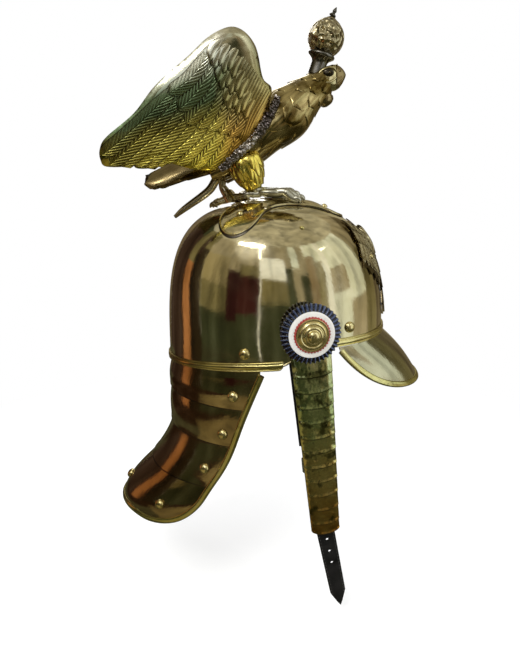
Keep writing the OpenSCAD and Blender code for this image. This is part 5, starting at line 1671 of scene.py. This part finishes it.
# Small pins, stud and nut
seats = both_sides(Matrix.Translation((0, 0, GAP)) @ aim((23, -62, skull_z(23, -62)), skull_normal(-70, 135)))
pins = joined(placed(lathe(dome_profile(2.2, 0), 28), m) for m in seats)
shell_brass("skull_pins", pins, band_brass)
STUD_LOW, STUD_TOP, STUD_R, THREAD = 140.0, 162.5, 3.98, 1.25
stud_profile = [(0, STUD_LOW), (3.2, STUD_LOW)]
for k in range(17):
    stud_profile += [(STUD_R, STUD_LOW + 0.6 + THREAD * k), (3.4, STUD_LOW + 0.6 + THREAD * (k + 0.5))]
stud_profile += [(STUD_R, 161.9), (STUD_R, STUD_TOP), (0, STUD_TOP)]
stand_in("eagle_stud", lathe(stud_profile, 40), steel, "eagle", "steel", 20)


def bored_plate(rim, bore, depth, lip):
    """Plate in the XY plane with a round bore: rim points at its top, depth down, edges broken by lip."""
    bm = blank()
    outer = [bm.verts.new((x, y, 0)) for x, y in rim]
    inner = [bm.verts.new((bore * cosd(11.25 * i), bore * sind(11.25 * i), 0)) for i in range(32)]
    edges = ring_edges(bm, outer) + ring_edges(bm, inner)
    bmesh.ops.triangle_fill(bm, use_beauty=True, use_dissolve=False, edges=edges, normal=(0, 0, 1))
    return break_edges(thicken(bm, depth, Vector((0, 0, 1))), 0.9, lip)


nut = bored_plate([(9 * cosd(60 * i), 9 * sind(60 * i)) for i in range(6)], 4.1, 5.0, 0.5)
stand_in("eagle_nut", placed(nut, Matrix.Translation((0, 0, 152.5))), steel, "shell", "steel", 30)

# Buckle on the left strap
TAB_START, TAB_L, BAR_R, TAB_LOOP = 206.1, 16.0, 1.3, 2.9
FRAME_HALF, FRAME_H, TAB_HALF, SLOT_HALF = 11.5, 20.0, 9.0, 2.0
BAR = Matrix.Translation((0, STRAP_BACK + LEATHER / 2, -TAB_START - TAB_L))
ACROSS = turned(90, "Y")
loop_rim = [(-TAB_LOOP * sind(a), TAB_LOOP * cosd(a)) for a in range(70, -251, -10)]
loop_rim = [(-3.4, 1.0)] + loop_rim + [(-3.4, -1.0)]
tab = blank()
for x in (TAB_HALF, -SLOT_HALF):
    fold = bored_plate(loop_rim, BAR_R + 0.1, TAB_HALF - SLOT_HALF, 0.25)
    join(tab, placed(fold, Matrix.Translation((x, 0, 0)) @ ACROSS))
join(tab, leather_strip(-TAB_L - 0.9, -3.0, lambda d: TAB_HALF, 1.0, -1.0, 10))
stand_in("buckle_tab_left", on_strap(placed(tab, BAR), "left"), black_leather, "buckle_tab_body",
         "black_leather")
tab_thread = blank()
for y in (1.03, -1.03):
    for k in range(5):
        join(tab_thread, stitch_at((-6.4 + 3.2 * k, y, 5.4), (1, 0, 0), 1.0))
    for x in (-7.3, 7.3):
        for k in range(3):
            join(tab_thread, stitch_at((x, y, 7.6 + 3.0 * k), (0, 0, 1), 1.0))
piece("tab_stitches", on_strap(placed(tab_thread, BAR), "left"), thread, "buckle_tab_body", "black_leather")


def frame_path(u):
    """Middle line of the buckle frame: a rectangle with small round corners."""
    r, half = 1.6, FRAME_HALF
    corners = [(half - r, -r, 90), (half - r, r - FRAME_H, 0), (r - half, r - FRAME_H, -90),
               (r - half, -r, -180)]
    points = []
    for x, z, a0 in corners:
        points += [Vector((x + r * cosd(a0 - 15 * i), 0, z + r * sind(a0 - 15 * i))) for i in range(7)]
    return curve_at(points + points[:1], u)


def frame_skin(u, a, b):
    p = frame_path(u)
    d = (frame_path((u + 0.004) % 1.0) - frame_path((u - 0.004) % 1.0)).normalized()
    return p + d.cross(Vector((0, 1, 0))) * a + Vector((0, 1, 0)) * b


frame_ring = sweep(oval_loop(16, BAR_R, BAR_R), 84, frame_skin, True)
stand_in("buckle_frame_left", on_strap(placed(frame_ring, BAR), "left"), steel, "buckle_frame_body", "steel")
PRONG_END = FRAME_H + BAR_R + 0.6
prong = tube([(0, 2.0, 0.4), (0, 2.0, -3), (0, 2.0, -9), (0, 2.0, -15), (0, 1.95, -PRONG_END)],
             [1.4, 1.45, 1.35, 1.15, 0.65], [0.48, 0.5, 0.5, 0.48, 0.4], (0, 1, 0), 16, 20, 0.8)
hub = lathe([(BAR_R + 0.1, -1.5), (2.3, -1.5), (2.45, -1.2), (2.45, 1.2), (2.3, 1.5), (BAR_R + 0.1, 1.5),
             (BAR_R + 0.1, -1.5)], 32)
join(prong, placed(hub, ACROSS))
stand_in("buckle_prong_left", on_strap(placed(prong, BAR), "left"), steel, "buckle_prong_body", "steel")


# Stage, light and camera
def flat_square(name, matrix, width, height, finish):
    bm = bmesh.new()
    bmesh.ops.create_grid(bm, x_segments=1, y_segments=1, size=0.5)
    bmesh.ops.scale(bm, vec=(width, height, 1), verts=bm.verts)
    placed(bm, matrix)
    mesh = bpy.data.meshes.new(name)
    bm.to_mesh(mesh)
    bm.free()
    mesh.materials.append(finish)
    obj = bpy.data.objects.new(name, mesh)
    bpy.context.scene.collection.objects.link(obj)
    return obj


def seen_by(tree, *rays):
    """1 for the named kinds of ray and 0 for the others."""
    seen = add_node(tree, "LightPath")
    value = seen.outputs[f"Is {rays[-1]} Ray"]
    for ray in reversed(rays[:-1]):
        value = sum_node(tree, "MAXIMUM", seen.outputs[f"Is {ray} Ray"], value)
    return value


def mix_shaders(tree, factor, a, b):
    return add_node(tree, "MixShader", {0: factor, 1: a.outputs[0], 2: b.outputs[0]})


def floor_finish():
    """Keeps the helmet's shadow, and turns white further out to the camera and in the metal."""
    m, tree, matt = new_finish("pale floor")
    feed(tree, matt, {"Base Color": (0.80, 0.80, 0.79), "Roughness": 0.9})
    lit = add_node(tree, "Emission", {1: 0.34})
    brighter = add_node(tree, "AddShader", {0: matt.outputs[0], 1: lit.outputs[0]})
    spread = add_node(tree, "VectorMath", {0: place_node(tree)})
    spread.operation = "LENGTH"
    far = sum_node(tree, "MULTIPLY", spread.outputs["Value"], 0.8)
    edge = grey_ramp(tree, far, [(0.22, 0.0), (0.60, 1.0)])
    to_white = mix_shaders(tree, edge, brighter, add_node(tree, "Emission"))
    final = mix_shaders(tree, seen_by(tree, "Camera", "Glossy"), matt, to_white)
    feed(tree, next(n for n in tree.nodes if n.type == "OUTPUT_MATERIAL"), {0: final.outputs[0]})
    m.cycles.emission_sampling = "NONE"
    return m


def soft_studio():
    """Soft light from all sides, and plain white to the camera and in the metal."""
    world = bpy.data.worlds.new("soft studio")
    bpy.context.scene.world = world
    world.use_nodes = True
    tree = world.node_tree
    tree.nodes.clear()
    soft = add_node(tree, "Background", {0: (0.96, 0.97, 1.0), 1: 0.62})
    white = add_node(tree, "Background", {0: (1, 1, 1), 1: 1.0})
    both = mix_shaders(tree, seen_by(tree, "Camera", "Glossy", "Transmission"), soft, white)
    add_node(tree, "OutputWorld", {0: both.outputs[0]})


EYE = Vector((-0.0150, -0.5801, 0.1810))
FLOOR_Z = -0.262
flat_square("floor", Matrix.Translation((0, 0, FLOOR_Z)), 6, 6, floor_finish())
soft_studio()

# Studio cards that only the metal reflects: degrees from the camera's side towards the helmet's rear,
# width in degrees, then rows of low and high edge in metres with their colour
BROWN, DARK, KHAKI = (0.045, 0.026, 0.018), (0.022, 0.016, 0.010), (0.20, 0.17, 0.08)
OLIVE, TAN, PALE = (0.045, 0.050, 0.024), (0.34, 0.29, 0.19), (0.80, 0.83, 0.72)
FOOT, TOP = -0.26, 1.15
CARDS = [
    (2, 24, ((FOOT, 0.10, OLIVE), (0.10, 0.36, KHAKI), (0.36, 0.72, (0.95, 0.95, 0.92)), (0.72, TOP, TAN))),
    (24, 18, ((FOOT, 0.02, OLIVE), (0.02, 0.36, (0.052, 0.016, 0.014)), (0.36, 0.50, KHAKI),
              (0.50, TOP, TAN))),
    (39, 12, ((FOOT, -0.04, OLIVE), (-0.04, 0.40, (0.034, 0.010, 0.010)), (0.40, TOP, TAN))),
    (60, 30, ((FOOT, 0.02, OLIVE), (0.02, 0.22, KHAKI), (0.22, 0.60, (0.34, 0.28, 0.15)),
              (0.60, TOP, TAN))),
    (80, 10, ((FOOT, 0.62, (0.030, 0.020, 0.010)), (0.62, TOP, KHAKI))),
    (88, 6, ((FOOT, 0.45, DARK), (0.45, TOP, BROWN))),
    (97, 12, ((FOOT, 0.30, (0.42, 0.18, 0.07)), (0.30, TOP, KHAKI))),
    (121, 36, ((FOOT, 0.80, BROWN), (0.80, TOP, OLIVE))),
    (155, 32, ((FOOT, TOP, (0.16, 0.12, 0.07)),)),
    (-14, 8, ((FOOT, 0.55, OLIVE), (0.55, TOP, TAN))),
    (-22, 8, ((FOOT, 0.55, TAN), (0.55, TOP, PALE))),
    (-30, 8, ((FOOT, 0.45, OLIVE), (0.45, TOP, TAN))),
    (-38, 8, ((FOOT, 0.75, (0.30, 0.22, 0.12)), (0.75, TOP, PALE))),
    (-46, 8, ((FOOT, 0.60, KHAKI), (0.60, TOP, PALE))),
    (-53, 6, ((FOOT, TOP, (0.95, 0.95, 0.90)),)),
    (-66, 20, ((FOOT, 0.20, PALE), (0.20, 0.45, TAN), (0.45, TOP, PALE))),
    (-88, 24, ((FOOT, 0.10, TAN), (0.10, TOP, PALE))),
    (-112, 24, ((FOOT, 0.50, KHAKI), (0.50, TOP, TAN))),
    (-138, 28, ((FOOT, 0.80, (0.14, 0.11, 0.06)), (0.80, TOP, TAN))),
    (-165, 26, ((FOOT, TOP, (0.34, 0.30, 0.20)),)),
]
RING = 0.95
# Level cards: height, middle, width, depth and colour
LEVEL_CARDS = {
    "ceiling": (TOP, (0, 0), 2 * RING, 2 * RING, (0.46, 0.42, 0.31)),
    "lower": (FLOOR_Z + 0.004, (0, 0), 2 * RING, 2 * RING, (0.085, 0.080, 0.042)),
    "lower_rear": (FLOOR_Z + 0.006, (-0.36, -0.44), 0.48, 0.62, (0.26, 0.21, 0.10)),
    "lower_far": (FLOOR_Z + 0.006, (-0.84, -0.20), 0.72, 1.5, (0.034, 0.017, 0.009)),
}


def card_finish(name, colour):
    """Glow with soft cloudy changes, so that the metal never shows one plain tone."""
    m = bpy.data.materials.new(name)
    m.use_nodes = True
    tree = m.node_tree
    tree.nodes.clear()
    cloud = noise_node(tree, place_node(tree, (1.0, 1.0, 0.22)), 5.5, 3.0, 0.6, 0.5)
    shade = ramp_node(tree, cloud, [(0.30, tuple(0.45 * c for c in colour)), (0.52, colour),
                                    (0.75, tuple(min(1.0, 1.45 * c + 0.02) for c in colour))])
    glow = add_node(tree, "Emission", {0: shade, 1: 1.0})
    add_node(tree, "OutputMaterial", {0: glow.outputs[0]})
    m.cycles.emission_sampling = "NONE"
    return m


def card(name, matrix, width, height, colour):
    """Card that only reflections see."""
    square = flat_square(name, matrix, width, height, card_finish(name.replace("_", " "), colour))
    square.visible_camera = False
    square.visible_diffuse = False
    square.visible_shadow = False
    square.visible_transmission = False


for k, (at, spread, rows) in enumerate(CARDS):
    angle = -90 - at
    for r, (low, high, colour) in enumerate(rows):
        spot = Vector((RING * cosd(angle), RING * sind(angle), (low + high) / 2))
        upright = Matrix.Translation(spot) @ turned(angle + 90, "Z") @ turned(90, "X")
        width = 2 * RING * math.tan(math.radians(spread / 2))
        card(f"card_{k + 1}_{r + 1}", upright, width, high - low, colour)
for word, (z, (x, y), width, depth, colour) in LEVEL_CARDS.items():
    card(f"{word}_card", Matrix.Translation((x, y, z)), width, depth, colour)


def soft_lamp(name, spot, target, size, watts, colour=(1, 1, 1)):
    data = bpy.data.lights.new(name, "AREA")
    data.shape = "RECTANGLE"
    data.size, data.size_y = size
    data.energy = watts
    data.color = colour
    obj = bpy.data.objects.new(name, data)
    obj.location = spot
    obj.rotation_euler = (Vector(target) - Vector(spot)).to_track_quat("-Z", "Y").to_euler()
    bpy.context.scene.collection.objects.link(obj)


soft_lamp("key_lamp", (-0.45, -0.85, 1.05), (0, 0, 0.05), (0.6, 0.6), 9.0, (1.0, 0.985, 0.96))
soft_lamp("front_lamp", (0.95, -0.55, 0.45), (0, 0, 0.05), (0.7, 0.9), 6.0)
soft_lamp("back_lamp", (-0.3, 1.0, 0.6), (0, 0, 0.1), (0.8, 0.8), 5.0)

camera_data = bpy.data.cameras.new("camera")
camera_data.lens = 31.35
camera_data.sensor_width = 36
camera_data.clip_start = 0.01
camera = bpy.data.objects.new("camera", camera_data)
camera.location = EYE
camera.rotation_euler = (math.radians(75.2), 0, 0)
bpy.context.scene.collection.objects.link(camera)
bpy.context.scene.camera = camera
bpy.context.scene.view_settings.view_transform = "Standard"
